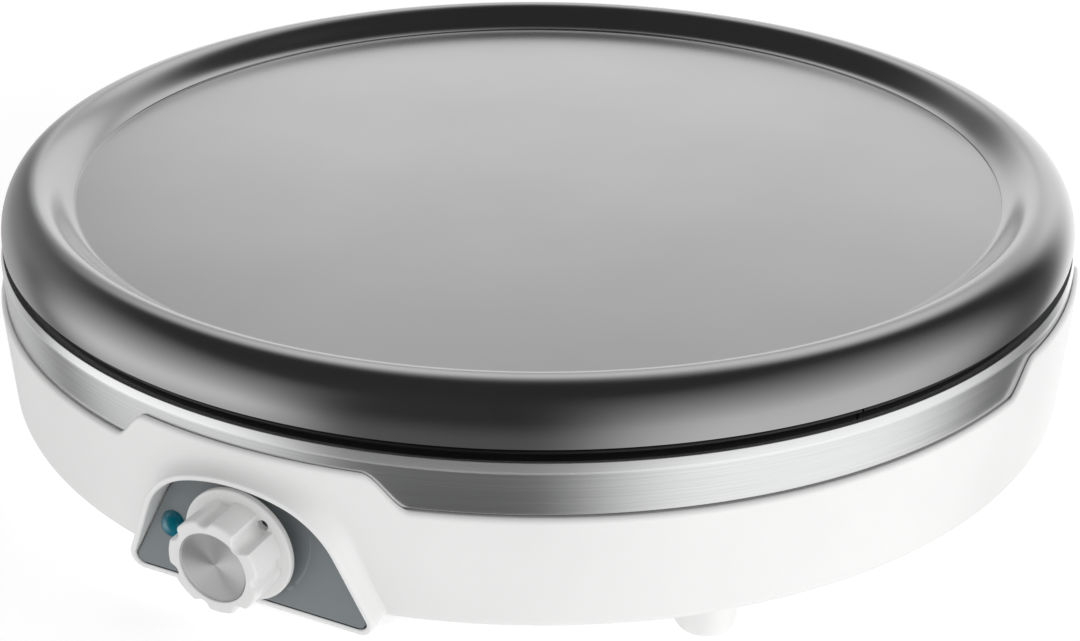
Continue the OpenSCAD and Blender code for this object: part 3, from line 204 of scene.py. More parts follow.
def make_object(name, shell, finish, body, sharp, replaces=()):
    """A mesh piece from a shell, smooth except where it turns by more than sharp degrees."""
    points, faces = shell
    mesh = bpy.data.meshes.new(name)
    mesh.from_pydata([Vector(p) * MM for p in points], [], faces)
    b = bmesh.new()
    b.from_mesh(mesh)
    bmesh.ops.remove_doubles(b, verts=b.verts, dist=MERGE_DIST)
    bmesh.ops.dissolve_degenerate(b, edges=b.edges, dist=MERGE_DIST)
    for face in b.faces:
        face.smooth = True
    limit = math.radians(sharp)
    for edge in b.edges:
        edge.smooth = len(edge.link_faces) == 2 and edge.calc_face_angle(0) < limit
    b.to_mesh(mesh)
    b.free()
    mesh.materials.append(FINISHES[finish])
    piece = bpy.data.objects.new(name, mesh)
    bpy.context.scene.collection.objects.link(piece)
    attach(piece, body)
    if replaces:
        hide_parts(*replaces)


def turned(profile, segments, a0=0.0, a1=360.0):
    """The shell of a profile of (r, z) turned round the Z axis."""
    full = abs(a1 - a0 - 360.0) < 1e-9
    columns = segments if full else segments + 1
    points = []
    for i in range(columns):
        a = math.radians(a0 + (a1 - a0) * i / segments)
        points += [(r * math.sin(a), -r * math.cos(a), z) for r, z in profile]
    n = len(profile)
    faces = []
    for i in range(segments):
        j = (i + 1) % columns
        for k in range(n - 1):
            faces.append((i * n + k, j * n + k, j * n + k + 1, i * n + k + 1))
    if not full:
        faces.append(tuple(range(n)))
        faces.append(tuple(segments * n + k for k in reversed(range(n))))
    return points, faces


def moved(shell, matrix):
    points, faces = shell
    return [tuple(matrix @ Vector(p)) for p in points], faces


def joined(*shells):
    """One shell from several."""
    points, faces = [], []
    for shell_points, shell_faces in shells:
        start = len(points)
        points += shell_points
        faces += [tuple(start + k for k in face) for face in shell_faces]
    return points, faces


def knob_frame(dist):
    """Frame on the knob's axis at a distance from the plate's: +Z out of the front, +Y up."""
    return Matrix.Translation((0, -dist, KNOB_Z)) @ Euler((math.pi / 2, 0, 0)).to_matrix().to_4x4()


def fascia_frame(x, up):
    """Frame on the panel's face: +X right, +Y up the face, +Z out of it."""
    base = Matrix.Translation((0, -FASCIA_DIST, KNOB_Z))
    lean = Euler((math.radians(90 - FASCIA_LEAN), 0, 0)).to_matrix().to_4x4()
    return base @ lean @ Matrix.Translation((x, up, 0.0))


# ---------------------------------------------------------------- materials

# Nearly all of a noise's values lie in this range
NOISE_LOW = 0.3
NOISE_HIGH = 0.7


class Finish:
    """A node material under construction, with short calls for the nodes that finishes share."""

    def __init__(self, name):
        self.material = bpy.data.materials.new(name)
        self.material.use_nodes = True
        self.tree = self.material.node_tree
        self.shader = self.tree.nodes["Principled BSDF"]

    def node(self, kind, **values):
        node = self.tree.nodes.new(kind)
        for key, value in values.items():
            setattr(node, key, value)
        return node

    def link(self, a, b):
        self.tree.links.new(a, b)

    def set(self, **values):
        for key, value in values.items():
            self.shader.inputs[key.replace("_", " ")].default_value = value

    def noise(self, scale, detail, stretch=(1, 1, 1)):
        """The value of a noise in the object's space, packed closer along an axis by its stretch."""
        coords = self.node("ShaderNodeTexCoord")
        mapping = self.node("ShaderNodeMapping")
        mapping.inputs["Scale"].default_value = stretch
        self.link(coords.outputs["Object"], mapping.inputs["Vector"])
        noise = self.node("ShaderNodeTexNoise")
        noise.inputs["Scale"].default_value = scale
        noise.inputs["Detail"].default_value = detail
        self.link(mapping.outputs["Vector"], noise.inputs["Vector"])
        return noise.outputs["Fac"]

    def tint(self, value, dark, light):
        """Base colour between two, chosen by a noise."""
        ramp = self.node("ShaderNodeValToRGB")
        ramp.color_ramp.elements[0].position = NOISE_LOW
        ramp.color_ramp.elements[1].position = NOISE_HIGH
        ramp.color_ramp.elements[0].color = (*dark, 1)
        ramp.color_ramp.elements[1].color = (*light, 1)
        self.link(value, ramp.inputs["Fac"])
        self.link(ramp.outputs["Color"], self.shader.inputs["Base Color"])

    def rough(self, value, low, high):
        """Roughness between two, chosen by a noise."""
        ramp = self.node("ShaderNodeMapRange")
        ramp.inputs["From Min"].default_value = NOISE_LOW
        ramp.inputs["From Max"].default_value = NOISE_HIGH
        ramp.inputs["To Min"].default_value = low
        ramp.inputs["To Max"].default_value = high
        self.link(value, ramp.inputs["Value"])
        self.link(ramp.outputs["Result"], self.shader.inputs["Roughness"])

    def bump(self, value, depth, strength=1.0):
        """Bump of the given depth in millimetres."""
        bump = self.node("ShaderNodeBump")
        bump.inputs["Strength"].default_value = strength
        bump.inputs["Distance"].default_value = depth * MM
        self.link(value, bump.inputs["Height"])
        self.link(bump.outputs["Normal"], self.shader.inputs["Normal"])

    def brushed(self, axis):
        """Highlights stretched by brush lines that run round an axis of the object."""
        tangent = self.node("ShaderNodeTangent", direction_type="RADIAL", axis=axis)
        self.link(tangent.outputs["Tangent"], self.shader.inputs["Tangent"])


def scaled(colour, factor):
    return tuple(min(1.0, c * factor) for c in colour)


def moulded(name, colour, roughness, grain=0.01):
    """Moulded plastic: faint cloudiness, a fine skin texture and a slight sheen variation."""
    f = Finish(name)
    cloud = f.noise(scale=18.0, detail=3.0)
    skin = f.noise(scale=1400.0, detail=2.0)
    f.tint(cloud, scaled(colour, 0.975), scaled(colour, 1.015))
    f.rough(cloud, roughness * 0.92, roughness * 1.08)
    f.bump(skin, depth=grain)
    return f.material


def metal(name, colour, roughness, stretch=(1, 1, 1)):
    """Rolled, plated or drawn metal: fine grain lines and a cloudy sheen."""
    f = Finish(name)
    lines = f.noise(scale=260.0, detail=5.0, stretch=stretch)
    cloud = f.noise(scale=25.0, detail=3.0)
    f.tint(cloud, scaled(colour, 0.93), scaled(colour, 1.05))
    f.rough(lines, roughness * 0.85, roughness * 1.15)
    f.bump(lines, depth=0.004)
    f.set(Metallic=1.0)
    return f.material


def coated_cast(name):
    """The plate's satin non-stick coating over cast aluminium."""
    f = Finish(name)
    cloud = f.noise(scale=14.0, detail=4.0)
    spray = f.noise(scale=2600.0, detail=3.0)
    f.tint(cloud, PLATE_DARK, PLATE_LIGHT)
    f.rough(spray, PLATE_ROUGH * 0.95, PLATE_ROUGH * 1.05)
    f.bump(spray, depth=0.0015)
    f.set(Metallic=1.0)
    return f.material


def brushed_band(name):
    """Steel brushed along its length, so its lines run round the band."""
    f = Finish(name)
    lines = f.noise(scale=40.0, detail=6.0, stretch=(0.35, 0.35, 60.0))
    fine = f.noise(scale=40.0, detail=3.0, stretch=(1.5, 1.5, 220.0))
    f.tint(lines, scaled(BAND_COLOUR, 0.94), scaled(BAND_COLOUR, 1.05))
    f.rough(fine, low=0.17, high=0.23)
    f.bump(fine, depth=0.001, strength=0.5)
    f.set(Metallic=1.0, Anisotropic=0.5)
    f.brushed(axis="Z")
    return f.material


def painted_highlight_edge(name):
    """The band's sloping edge: the same steel with a satin finish, painted paler than the band's wall as
    a highlight.
    """
    f = Finish(name)
    fine = f.noise(scale=40.0, detail=3.0, stretch=(1.5, 1.5, 120.0))
    f.tint(fine, scaled(EDGE_HIGHLIGHT_COLOUR, 0.97), scaled(EDGE_HIGHLIGHT_COLOUR, 1.03))
    f.rough(fine, low=0.2, high=0.26)
    f.bump(fine, depth=0.001, strength=0.4)
    f.set(Metallic=0.82)
    return f.material


def spun_cap(name):
    """Aluminium turned on a lathe: fine rings round the knob's axis."""
    f = Finish(name)
    coords = f.node("ShaderNodeTexCoord")
    offset = f.node("ShaderNodeVectorMath", operation="SUBTRACT")
    offset.inputs[1].default_value = (0, 0, KNOB_Z * MM)
    flat = f.node("ShaderNodeVectorMath", operation="MULTIPLY")
    flat.inputs[1].default_value = (1, 0, 1)
    reach = f.node("ShaderNodeVectorMath", operation="LENGTH")
    rings = f.node("ShaderNodeTexNoise", noise_dimensions="1D")
    rings.inputs["Scale"].default_value = 9000.0
    rings.inputs["Detail"].default_value = 3.0
    f.link(coords.outputs["Object"], offset.inputs[0])
    f.link(offset.outputs["Vector"], flat.inputs[0])
    f.link(flat.outputs["Vector"], reach.inputs[0])
    f.link(reach.outputs["Value"], rings.inputs["W"])
    ring_value = rings.outputs["Fac"]
    f.tint(ring_value, (0.8, 0.8, 0.8), (0.96, 0.96, 0.96))
    f.rough(ring_value, low=0.4, high=0.5)
    f.bump(ring_value, depth=0.003, strength=0.5)
    f.set(Metallic=0.9, Anisotropic=0.98)
    f.brushed(axis="Y")
    return f.material


def tinted_lens(name, colour):
    """A coloured cover that lets only a little light through, with a clear gloss on it."""
    f = Finish(name)
    cloud = f.noise(scale=160.0, detail=2.0)
    f.tint(cloud, scaled(colour, 0.85), scaled(colour, 1.2))
    f.rough(cloud, low=0.08, high=0.12)
    f.set(Transmission_Weight=0.1, IOR=1.49, Specular_IOR_Level=0.25)
    f.set(Coat_Weight=0.2, Coat_Roughness=0.05)
    return f.material


PLATE_DARK = (0.43, 0.43, 0.435)
PLATE_LIGHT = (0.46, 0.46, 0.465)
PLATE_ROUGH = 0.2
BAND_COLOUR = (0.85, 0.855, 0.86)
# The sloping edge's steel is paler than the band's: a painted highlight along the lip
EDGE_HIGHLIGHT_COLOUR = (0.93, 0.935, 0.94)
WHITE = (0.86, 0.86, 0.855)
KNOB_WHITE = (0.8, 0.8, 0.795)
FASCIA_GREY = (0.21, 0.232, 0.242)
PRINT_GREY = (0.27, 0.30, 0.31)
RING_BLACK = (0.004, 0.004, 0.0045)
TEAL = (0.0, 0.13, 0.18)

FINISHES = {
    "cast_plate": coated_cast("cast_plate"),
    "trim_steel": brushed_band("trim_steel"),
    "trim_edge": painted_highlight_edge("trim_edge"),
    "cap_metal": spun_cap("cap_metal"),
    "lens_teal": tinted_lens("lens_teal", TEAL),
    "lamp_glass": tinted_lens("lamp_glass", (0.8, 0.7, 0.6)),
}
# Plastics, ceramic and rubber: colour, roughness and, where it isn't the usual one, depth of the grain
for finish_name, *look in (
    ("housing_white", WHITE, 0.38),
    ("knob_white", KNOB_WHITE, 0.32),
    ("ring_black", RING_BLACK, 0.4, 0.02),
    ("fascia_grey", FASCIA_GREY, 0.42, 0.012),
    ("print_grey", PRINT_GREY, 0.5, 0.005),
    ("pad_rubber", (0.015, 0.015, 0.016), 0.75, 0.05),
    ("ceramic", (0.72, 0.68, 0.58), 0.6, 0.03),
    ("switch_body", (0.03, 0.027, 0.025), 0.5, 0.03),
    ("gland_black", (0.012, 0.012, 0.012), 0.5, 0.03),
    ("lead_brown", (0.09, 0.035, 0.012), 0.5),
    ("lead_black", (0.012, 0.012, 0.012), 0.5),
    ("lead_blue", (0.015, 0.06, 0.25), 0.5),
    ("lead_green", (0.12, 0.3, 0.02), 0.5),
):
    FINISHES[finish_name] = moulded(finish_name, *look)
# Metals: colour, roughness and, for rolled sheet, the stretch of its grain
for finish_name, *look in (
    ("base_sheet", (0.56, 0.57, 0.57), 0.42, (0.1, 1, 1)),
    ("reflector", (0.8, 0.8, 0.8), 0.25, (0.1, 1, 1)),
    ("element_steel", (0.22, 0.22, 0.21), 0.5),
    ("pillar_steel", (0.55, 0.55, 0.54), 0.4),
    ("fastener_steel", (0.6, 0.6, 0.58), 0.32),
    ("sheet_steel", (0.55, 0.55, 0.55), 0.4),
    ("brass_leaf", (0.68, 0.5, 0.22), 0.35),
    ("bulb_copper", (0.72, 0.36, 0.22), 0.35),
):
    FINISHES[finish_name] = metal(finish_name, *look)


def dress_cad():
    """Gives each CAD node the finish of its slot."""
    for entry in frame["record"]["subparts"]:
        piece = frame["nodes"][entry["node"]]
        piece.data.materials.clear()
        piece.data.materials.append(FINISHES[entry["material_slot"]])


dress_cad()

# ----------------------------------------------------------- plate and band

ROUND_SEGMENTS = 360
FLAT_RINGS = (0.0, 20.0, 60.0, 100.0, 140.0, 165.0)
FLAT_END = 172.6
STEP_RUN = 0.1
STEP_ROUND = 0.4
# The share of the S that the rim's slope leaves out at its foot
RISE_START = 0.13
# How much further out than on top the slope starts on the underside
UNDER_SHIFT = 2.5
# How far in on the skirt's foot a point sits that keeps the shading of its edge crisp
EDGE_SUPPORT = 0.4


def rim_rise(r0, z0, h, start=0.0, n=22):
    """The S-shaped slope from (r0, z0) up to the crest, without the first share of the S."""
    low = (1 - math.cos(math.pi * start)) / 2
    path = []
    for i in range(n + 1):
        t = start + (1 - start) * i / n
        up = ((1 - math.cos(math.pi * t)) / 2 - low) / (1 - low)
        path.append((r0 + (CREST_R - r0) * i / n, z0 + h * up))
    return path


def rim_round(wall, n=26):
    """The quarter of an ellipse from the crest down to the skirt, drawn in by the wall."""
    spread_r = PLATE_R - CREST_R - wall
    spread_z = SURFACE_Z + RIM_H - SKIRT_Z - wall
    steps = [math.pi / 2 * i / n for i in range(n + 1)]
    return [(CREST_R + spread_r * math.sin(a), SKIRT_Z + spread_z * math.cos(a)) for a in steps]


def make_plate():
    """The plate: flat top, step of the well, rim and skirt, and the hollow underside."""
    flat = [(r, SURFACE_Z) for r in (*FLAT_RINGS, FLAT_END)]
    step_r, step_z = WELL_R + STEP_RUN, SURFACE_Z + STEP_H
    step = rounded(
        [(FLAT_END, SURFACE_Z, 0), (WELL_R, SURFACE_Z, STEP_ROUND), (step_r, step_z, 0)], steps=4
    )
    outside = rim_rise(step_r, step_z, RIM_H - STEP_H, RISE_START) + rim_round(0)[1:]
    edge = [(PLATE_R - EDGE_SUPPORT, SKIRT_Z), (PLATE_R - RIM_WALL, SKIRT_Z)]
    inside = list(reversed(rim_round(RIM_WALL)))[1:]
    under_z = SURFACE_Z - PLATE_T
    under = rim_rise(WELL_R + UNDER_SHIFT, under_z, PLATE_T + RIM_H - RIM_WALL)
    under = list(reversed(under))[1:] + [(0.0, under_z)]
    shell = turned(flat + step[1:] + outside[1:] + edge + inside + under, ROUND_SEGMENTS)
    make_object("plate_look", shell, "cast_plate", "base", 50, ["cooking_plate"])


BEAD_ROUND = 0.6
GROOVE_ROUND = 0.2


def make_ring():
    """The black ring under the plate: a bead between two grooves, with a joint on one side."""
    groove_r = BEAD_R - GROOVE_DEPTH
    low, high = RING_Z + GROOVE_LOW_H, SKIRT_Z - GROOVE_TOP_H
    profile = rounded(
        [
            (RING_IN_R, RING_Z, 0),
            (groove_r, RING_Z, 0),
            (groove_r, low, GROOVE_ROUND),
            (BEAD_R, low, BEAD_ROUND),
            (BEAD_R, high, BEAD_ROUND),
            (groove_r, high, GROOVE_ROUND),
            (groove_r, SKIRT_Z, 0),
            (RING_IN_R, SKIRT_Z, 0),
        ]
    )
    gap = math.degrees(JOINT_W / BEAD_R) / 2
    shell = turned(profile, ROUND_SEGMENTS, JOINT_A + gap, JOINT_A + 360 - gap)
    make_object("ring_look", shell, "ring_black", "base", 40, ["insulating_ring"])


BAND_SEAT_W = 9.0
# How far the inner and outer corners of the edge's lip stand over the modelled edge, the lip's width, and
# the height over the edge's foot at which the finish changes
LIP_IN_H = 0.4
LIP_OUT_H = 0.9
LIP_W = 0.5
SPLIT_H = 0.2


def make_band():
    """The brushed wall of the band, and its satin sloping edge, painted paler as a highlight, with the
    seat for the ring.
    """
    seat_r, seat_z = BAND_R - BAND_SEAT_W, RING_Z - BAND_T
    lip_r = BAND_R - BAND_EDGE_LEAN
    turn_z = BAND_EDGE_Z - BAND_EDGE_H
    split_z = turn_z + SPLIT_H
    edge = rounded(
        [
            (seat_r, seat_z, 0),
            (seat_r, RING_Z, 0),
            (BAND_R - BAND_EDGE_W - BAND_T, RING_Z, 0.2),
            (lip_r - LIP_W, BAND_EDGE_Z + LIP_IN_H, 0.3),
            (lip_r, BAND_EDGE_Z + LIP_OUT_H, 0.2),
            (BAND_R, turn_z + LIP_OUT_H, 0.5),
            (BAND_R, split_z, 0),
        ],
        steps=8,
    )
    wall = rounded(
        [
            (BAND_R, split_z, 0),
            (BAND_R, BAND_Z, 0.25),
            (BAND_R - BAND_T, BAND_Z, 0),
            (BAND_R - BAND_T, split_z, 0),
            (seat_r, seat_z, 0),
        ],
        steps=8,
    )
    edge, wall = turned(edge, ROUND_SEGMENTS), turned(wall, ROUND_SEGMENTS)
    # The edge's paler finish is a painted highlight
    make_object("band_edge_look", edge, "trim_edge", "base", 50)
    make_object("band_look", wall, "trim_steel", "base", 50, ["trim_band"])


# -------------------------------------------------------------- the housing

# The collar's outline, seen from the front: the angles at which its arcs meet, the centres of two of them
# and the direction that its straight side faces
CROWN_TURN = math.radians(CROWN_A)
SIDE_TURN = math.radians(90 - SIDE_A)
CROWN_MID = Vector((0, CROWN_Z - CROWN_R))
CORNER_MID = CROWN_MID + (CROWN_R - CORNER_R) * Vector((math.sin(CROWN_TURN), math.cos(CROWN_TURN)))
SIDE_NORMAL = Vector((math.sin(SIDE_TURN), math.cos(SIDE_TURN)))
CROWN_STEPS = 14
CORNER_STEPS = 24
LOW_CORNER_STEPS = 16
SILL_STEPS = 40
# A straight run longer than this gets more points, about one to a millimetre
LONG_RUN = 2.0


def outline(inset):
    """Points and outward normals of the collar's outline, clockwise from the top, drawn in by inset."""
    low = COLLAR_LOW_Z + LOW_CORNER_R
    reach = (CORNER_MID + (CORNER_R - LOW_CORNER_R) * SIDE_NORMAL).dot(SIDE_NORMAL)
    low_mid = Vector(((reach - low * SIDE_NORMAL.y) / SIDE_NORMAL.x, low))
    arcs = []
    for centre, radius, a0, a1, steps in (
        (CROWN_MID, CROWN_R, 0.0, CROWN_TURN, CROWN_STEPS),
        (CORNER_MID, CORNER_R, CROWN_TURN, SIDE_TURN, CORNER_STEPS),
        (low_mid, LOW_CORNER_R, SIDE_TURN, math.pi, LOW_CORNER_STEPS),
    ):
        for i in range(steps + 1):
            a = a0 + (a1 - a0) * i / steps
            spoke = Vector((math.sin(a), math.cos(a)))
            arcs.append((centre + spoke * (radius - inset), spoke))
    right = []
    for (p, m), (q, _) in zip(arcs[:-1], arcs[1:]):
        right.append((p, m))
        gap = (q - p).length
        if gap > LONG_RUN:
            pieces = int(gap)
            right += [(p + (q - p) * k / pieces, m) for k in range(1, pieces)]
    right.append(arcs[-1])
    left = [(Vector((-p.x, p.y)), Vector((-m.x, m.y))) for p, m in reversed(right)]
    start, run = right[-1][0], left[0][0] - right[-1][0]
    down = Vector((0, -1))
    bottom = [(start + run * k / SILL_STEPS, down) for k in range(1, SILL_STEPS)]
    return right + bottom + left[:-1]


def wall_radius(z):
    """Radius of the body's outside at height z."""
    if z < BASE_Z + BASE_EDGE_R:
        drop = min(BASE_EDGE_R, BASE_Z + BASE_EDGE_R - z)
        return WALL_LOW_R - BASE_EDGE_R + math.sqrt(BASE_EDGE_R**2 - drop**2)
    share = (z - BASE_Z - BASE_EDGE_R) / (WALL_Z - BASE_Z - BASE_EDGE_R)
    return WALL_LOW_R + (WALL_R - WALL_LOW_R) * min(1.0, share)


def wall_dist(x, z):
    """Distance of the body's front surface from the plate's axis, measured along -Y."""
    return math.sqrt(wall_radius(z) ** 2 - x * x)


def collar_front(z):
    """Distance of the collar's front from the plate's axis at height z."""
    return COLLAR_DIST + (z - KNOB_Z) * math.tan(math.radians(COLLAR_LEAN))


def fascia_front(z):
    """Distance of the panel's face from the plate's axis at height z."""
    return FASCIA_DIST - (z - KNOB_Z) * math.tan(math.radians(FASCIA_LEAN))


SHOULDER_PLACES = (0, 90, 180, 270)


def from_shoulder(angle):
    """Angle to the middle of the nearest shoulder."""
    return min(abs((angle - c + 180) % 360 - 180) for c in SHOULDER_PLACES)


def top_height(angle):
    """Height of the body's top edge at an angle, shoulders included."""
    x = WALL_R * math.sin(math.radians(from_shoulder(angle)))
    edge = WALL_R * math.sin(math.radians(SHOULDER_A))
    t = min(1.0, max(0.0, (x - (edge - SHOULDER_RUN)) / SHOULDER_RUN))
    return SHOULDER_Z - (SHOULDER_Z - WALL_Z) * (1 - math.cos(math.pi * t)) / 2


BAND_GAP = 0.12
# The ledge behind the gap under the band, which keeps the inside out of sight
LEDGE_W = 4.0
LEDGE_DROP = 0.3
# The top's inner edge beside the band: how far each point is out from the gap and down from the top
SEAM_EDGE = ((0.0, 0.15), (0.05, 0.05), (0.15, 0.0))
LIP_ROUND = 1.6
WALL_ROWS = 76
RECESS_H = 3.0


def wall_column(h):
    """Profile of the body where its top is at height h, from the inside over the top and down."""
    inner = BAND_R + BAND_GAP
    top = [(inner - LEDGE_W, WALL_Z - LEDGE_DROP), (inner, WALL_Z - LEDGE_DROP)]
    top += [(inner + out, h - down) for out, down in SEAM_EDGE]
    top += arc(WALL_R - LIP_ROUND, h - LIP_ROUND, LIP_ROUND, 90, 0, 7)
    start = h - LIP_ROUND
    low = BASE_Z + BASE_EDGE_R
    heights = [start + (low - start) * k / WALL_ROWS for k in range(1, WALL_ROWS)]
    side = [(wall_radius(z), z) for z in heights]
    edge = arc(WALL_LOW_R - BASE_EDGE_R, low, BASE_EDGE_R, 0, -90, 8)
    return top + side + edge + [(RECESS_R, BASE_Z), (RECESS_R, BASE_Z + RECESS_H)]


# Angles from a shoulder's middle between which its ends lie, and the two spacings of the columns
FINE_FROM = 10.6
FINE_TO = 15.4
FINE_STEP = 0.125
COARSE_STEP = 0.5


def wall_angles():
    """Angles of the columns: closer together at the shoulders' ends and across the panel."""
    angles = []
    a = 0.0
    while a < 360.0 - 1e-6:
        angles.append(a)
        fine = FINE_FROM < from_shoulder(a) < FINE_TO or min(a, 360 - a) < FINE_TO
        a = round(a + (FINE_STEP if fine else COARSE_STEP), 6)
    return angles


def inside_collar(x, z, inset):
    """True if a point of the front view lies inside the collar's outline drawn in by inset."""
    if z < COLLAR_LOW_Z + inset:
        return False
    p = Vector((abs(x), z))
    spoke = p - CROWN_MID
    if math.atan2(spoke.x, spoke.y) < CROWN_TURN:
        return spoke.length < CROWN_R - inset
    spoke = p - CORNER_MID
    if spoke.y > 0 and math.atan2(spoke.x, spoke.y) < SIDE_TURN:
        return spoke.length < CORNER_R - inset
    return spoke.dot(SIDE_NORMAL) < CORNER_R - inset


# The panel's opening is cut only from rows on the outside, near the front and near the middle
FIRST_OUTER_ROW = 10
OPENING_HALF_W = 60
OPENING_BACK_Y = -185


def body_shell():
    """The body's wall all round, open where the panel sits."""
    angles = wall_angles()
    columns = [wall_column(top_height(a)) for a in angles]
    n = len(columns[0])
    points = []
    for a, column in zip(angles, columns):
        t = math.radians(a)
        points += [(r * math.sin(t), -r * math.cos(t), z) for r, z in column]
    faces = []
    for i in range(len(angles)):
        j = (i + 1) % len(angles)
        for k in range(n - 1):
            quad = (i * n + k, j * n + k, j * n + k + 1, i * n + k + 1)
            x, y, z = (sum(points[v][axis] for v in quad) / 4 for axis in range(3))
            near_panel = y < OPENING_BACK_Y and abs(x) < OPENING_HALF_W
            if k >= FIRST_OUTER_ROW and near_panel and inside_collar(x, z, COLLAR_T / 2):
                continue
            faces.append(quad)
    return points, faces


FILLET_TOP = 6.0
FILLET_LOW = 0.8
FILLET_START_H = 8.0
# The closest that the fillet's centre comes to the collar's front, and the least that a radius shrinks to
FILLET_ROOM = 1.7
FILLET_SHARE = 0.2
# The body's slope beside the collar is measured over the fillet's radius, over this much at the least,
# and up to this far under the shoulder's top
PROBE_MIN = 0.5
PROBE_TOP_GAP = 1.0
# The strip past the fillet, sunk into the body
SKIN_W = 0.5
SKIN_SINK = 0.12


def fillet_radius(z):
    """Radius of the blend between the collar and the body: wide at the crown, tight at the foot."""
    up = z - COLLAR_LOW_Z - FILLET_START_H
    share = min(1.0, max(0.0, up / (CROWN_Z - COLLAR_LOW_Z - FILLET_START_H)))
    smooth = share * share * (3 - 2 * share)
    return FILLET_LOW + (FILLET_TOP - FILLET_LOW) * smooth


# The collar's lip: how far it reaches back, its rounding, and how far it goes behind the panel's face
LIP_DEPTH = 1.6
COLLAR_ROUND = 0.8
BEHIND_FACE = 1.5
# Up to this height over the body's base, the collar goes straight back under the body
UNDER_BODY_H = 0.3


def collar_section(p, m):
    """Points across the collar at one place of its outline, from the panel over the lip to the body.

    Each point is a distance out along the outline's normal m and a distance from the plate's axis.
    """
    x, z = p
    front = collar_front(z)
    back = front - LIP_DEPTH
    deep = fascia_front(z) - BEHIND_FACE
    section = [(-COLLAR_T, deep + (front - deep) * k / 5) for k in range(4)]
    section += rounded(
        [
            (-COLLAR_T, back, 0),
            (-COLLAR_T, front, COLLAR_ROUND),
            (0.0, front, COLLAR_ROUND),
            (0.0, back, 0),
        ],
        steps=5,
    )
    if z < BASE_Z + UNDER_BODY_H:
        return section + [(0.0, back - (back - COLLAR_BACK) * k / 6) for k in range(1, 7)]
    radius = fillet_radius(z)
    here = wall_dist(x, z)
    probe = max(radius, PROBE_MIN)
    there = wall_dist(x + m.x * probe, min(z + m.y * probe, SHOULDER_Z - PROBE_TOP_GAP))
    slope = (there - here) / probe
    root = math.sqrt(1 + slope * slope)
    centre_d = here + slope * radius + radius * root
    room = front - FILLET_ROOM
    if centre_d > room:
        radius *= max(FILLET_SHARE, (room - here) / (centre_d - here))
        centre_d = here + slope * radius + radius * root
    end = math.degrees(math.atan2(-1.0, slope))
    if end > 0:
        end -= 360
    section += [(0.0, back + (centre_d - back) * k / 4) for k in range(1, 4)]
    section += arc(radius, centre_d, radius, -180, end, 10)
    last_u, last_d = section[-1]
    section.append((last_u + SKIN_W, last_d + SKIN_W * slope - SKIN_SINK))
    return section


def collar_shell():
    """The raised collar round the panel, with its blend into the body."""
    ring = outline(0.0)
    points, faces = [], []
    sections = [collar_section(p, m) for p, m in ring]
    n = max(len(s) for s in sections)
    for (p, m), section in zip(ring, sections):
        for u, d in resampled(section, n):
            points.append((p.x + m.x * u, -d, p.y + m.y * u))
    for i in range(len(ring)):
        j = (i + 1) % len(ring)
        for k in range(n - 1):
            faces.append((i * n + k, i * n + k + 1, j * n + k + 1, j * n + k))
    return points, faces


def resampled(section, n):
    """The section with points added on its last stretch until it has n."""
    (u0, d0), (u1, d1) = section[-2:]
    parts = n - len(section) + 1
    added = [(u0 + (u1 - u0) * k / parts, d0 + (d1 - d0) * k / parts) for k in range(1, parts)]
    return section[:-1] + added + [section[-1]]


SILL_TOP_H = 1.0
SILL_BACK = 0.1


def sill_shell():
    """A face that closes the collar's back under the body."""
    low = [p for p, _ in outline(0.0) if p.y < BASE_Z + SILL_TOP_H]
    points = [(p.x, -COLLAR_BACK - SILL_BACK, p.y) for p in low]
    points.sort(key=lambda p: math.atan2(p[2] - BASE_Z - SILL_TOP_H, p[0]))
    return points, [tuple(range(len(points)))]


BOSS_SUNK = 4.0
BOSS_ROUND = 0.8


def boss_shell():
    """The round boss at the back that the cord gland sits in."""
    profile = rounded(
        [
            (BOSS_R, -BOSS_SUNK, 0),
            (BOSS_R, BOSS_PROUD, BOSS_ROUND),
            (GLAND_BODY_R, BOSS_PROUD, 0),
            (GLAND_BODY_R, -BOSS_SUNK, 0),
        ]
    )
    face_back = Euler((-math.pi / 2, 0, 0)).to_matrix().to_4x4()
    place = Matrix.Translation((0, WALL_R, INLET_Z)) @ face_back
    return moved(turned(profile, segments=96), place)


def make_housing():
    """The white body in one piece: wall, collar, sill and boss."""
    shell = joined(body_shell(), collar_shell(), sill_shell(), boss_shell())
    make_object("housing_look", shell, "housing_white", "base", 38, ["base_housing"])


# The panel's edge: insets from the collar's outline, and depths behind its face
FASCIA_EDGE = ((2.5, 1.6), (2.5, 0.35), (2.65, 0.1), (2.95, 0.0))


def make_fascia():
    """The grey panel: a face that leans back, with a fine rounded edge."""
    rings = []
    for inset, back in FASCIA_EDGE:
        rings.append([(p.x, -(fascia_front(p.y) - back), p.y) for p, _ in outline(inset)])
    n = len(rings[0])
    points = [p for ring in rings for p in ring]
    faces = []
    for r in range(len(rings) - 1):
        for i in range(n):
            j = (i + 1) % n
            faces.append((r * n + i, r * n + j, (r + 1) * n + j, (r + 1) * n + i))
    start = (len(rings) - 1) * n
    faces.append(tuple(start + i for i in reversed(range(n))))
    faces.append(tuple(range(n)))
    make_object("fascia_look", (points, faces), "fascia_grey", "base", 30, ["fascia"])


def plate_shape(path, thick):
    """A thin flat shape from its outline in the frame's XY plane."""
    n = len(path)
    points = [(x, y, 0.0) for x, y in path] + [(x, y, thick) for x, y in path]
    faces = [tuple(reversed(range(n))), tuple(n + i for i in range(n))]
    faces += [(i, (i + 1) % n, n + (i + 1) % n, n + i) for i in range(n)]
    return points, faces


# The scale's first angle from +X and what it spans, its width at the thin end and what it gains, and its
# steps and thickness
SCALE_FROM = 12
SCALE_SPAN = 48
SCALE_THIN = 0.15
SCALE_GAIN = 1.0
SCALE_STEPS = 40
WEDGE_T = 0.03
# The mark at the scale's end: half its sides, its place on the face, its turn and its thickness
MARK_HALF = (1.25, 0.6)
MARK_PLACE = (14.8, -14.1)
MARK_TURN = 31.4
MARK_T = 0.04


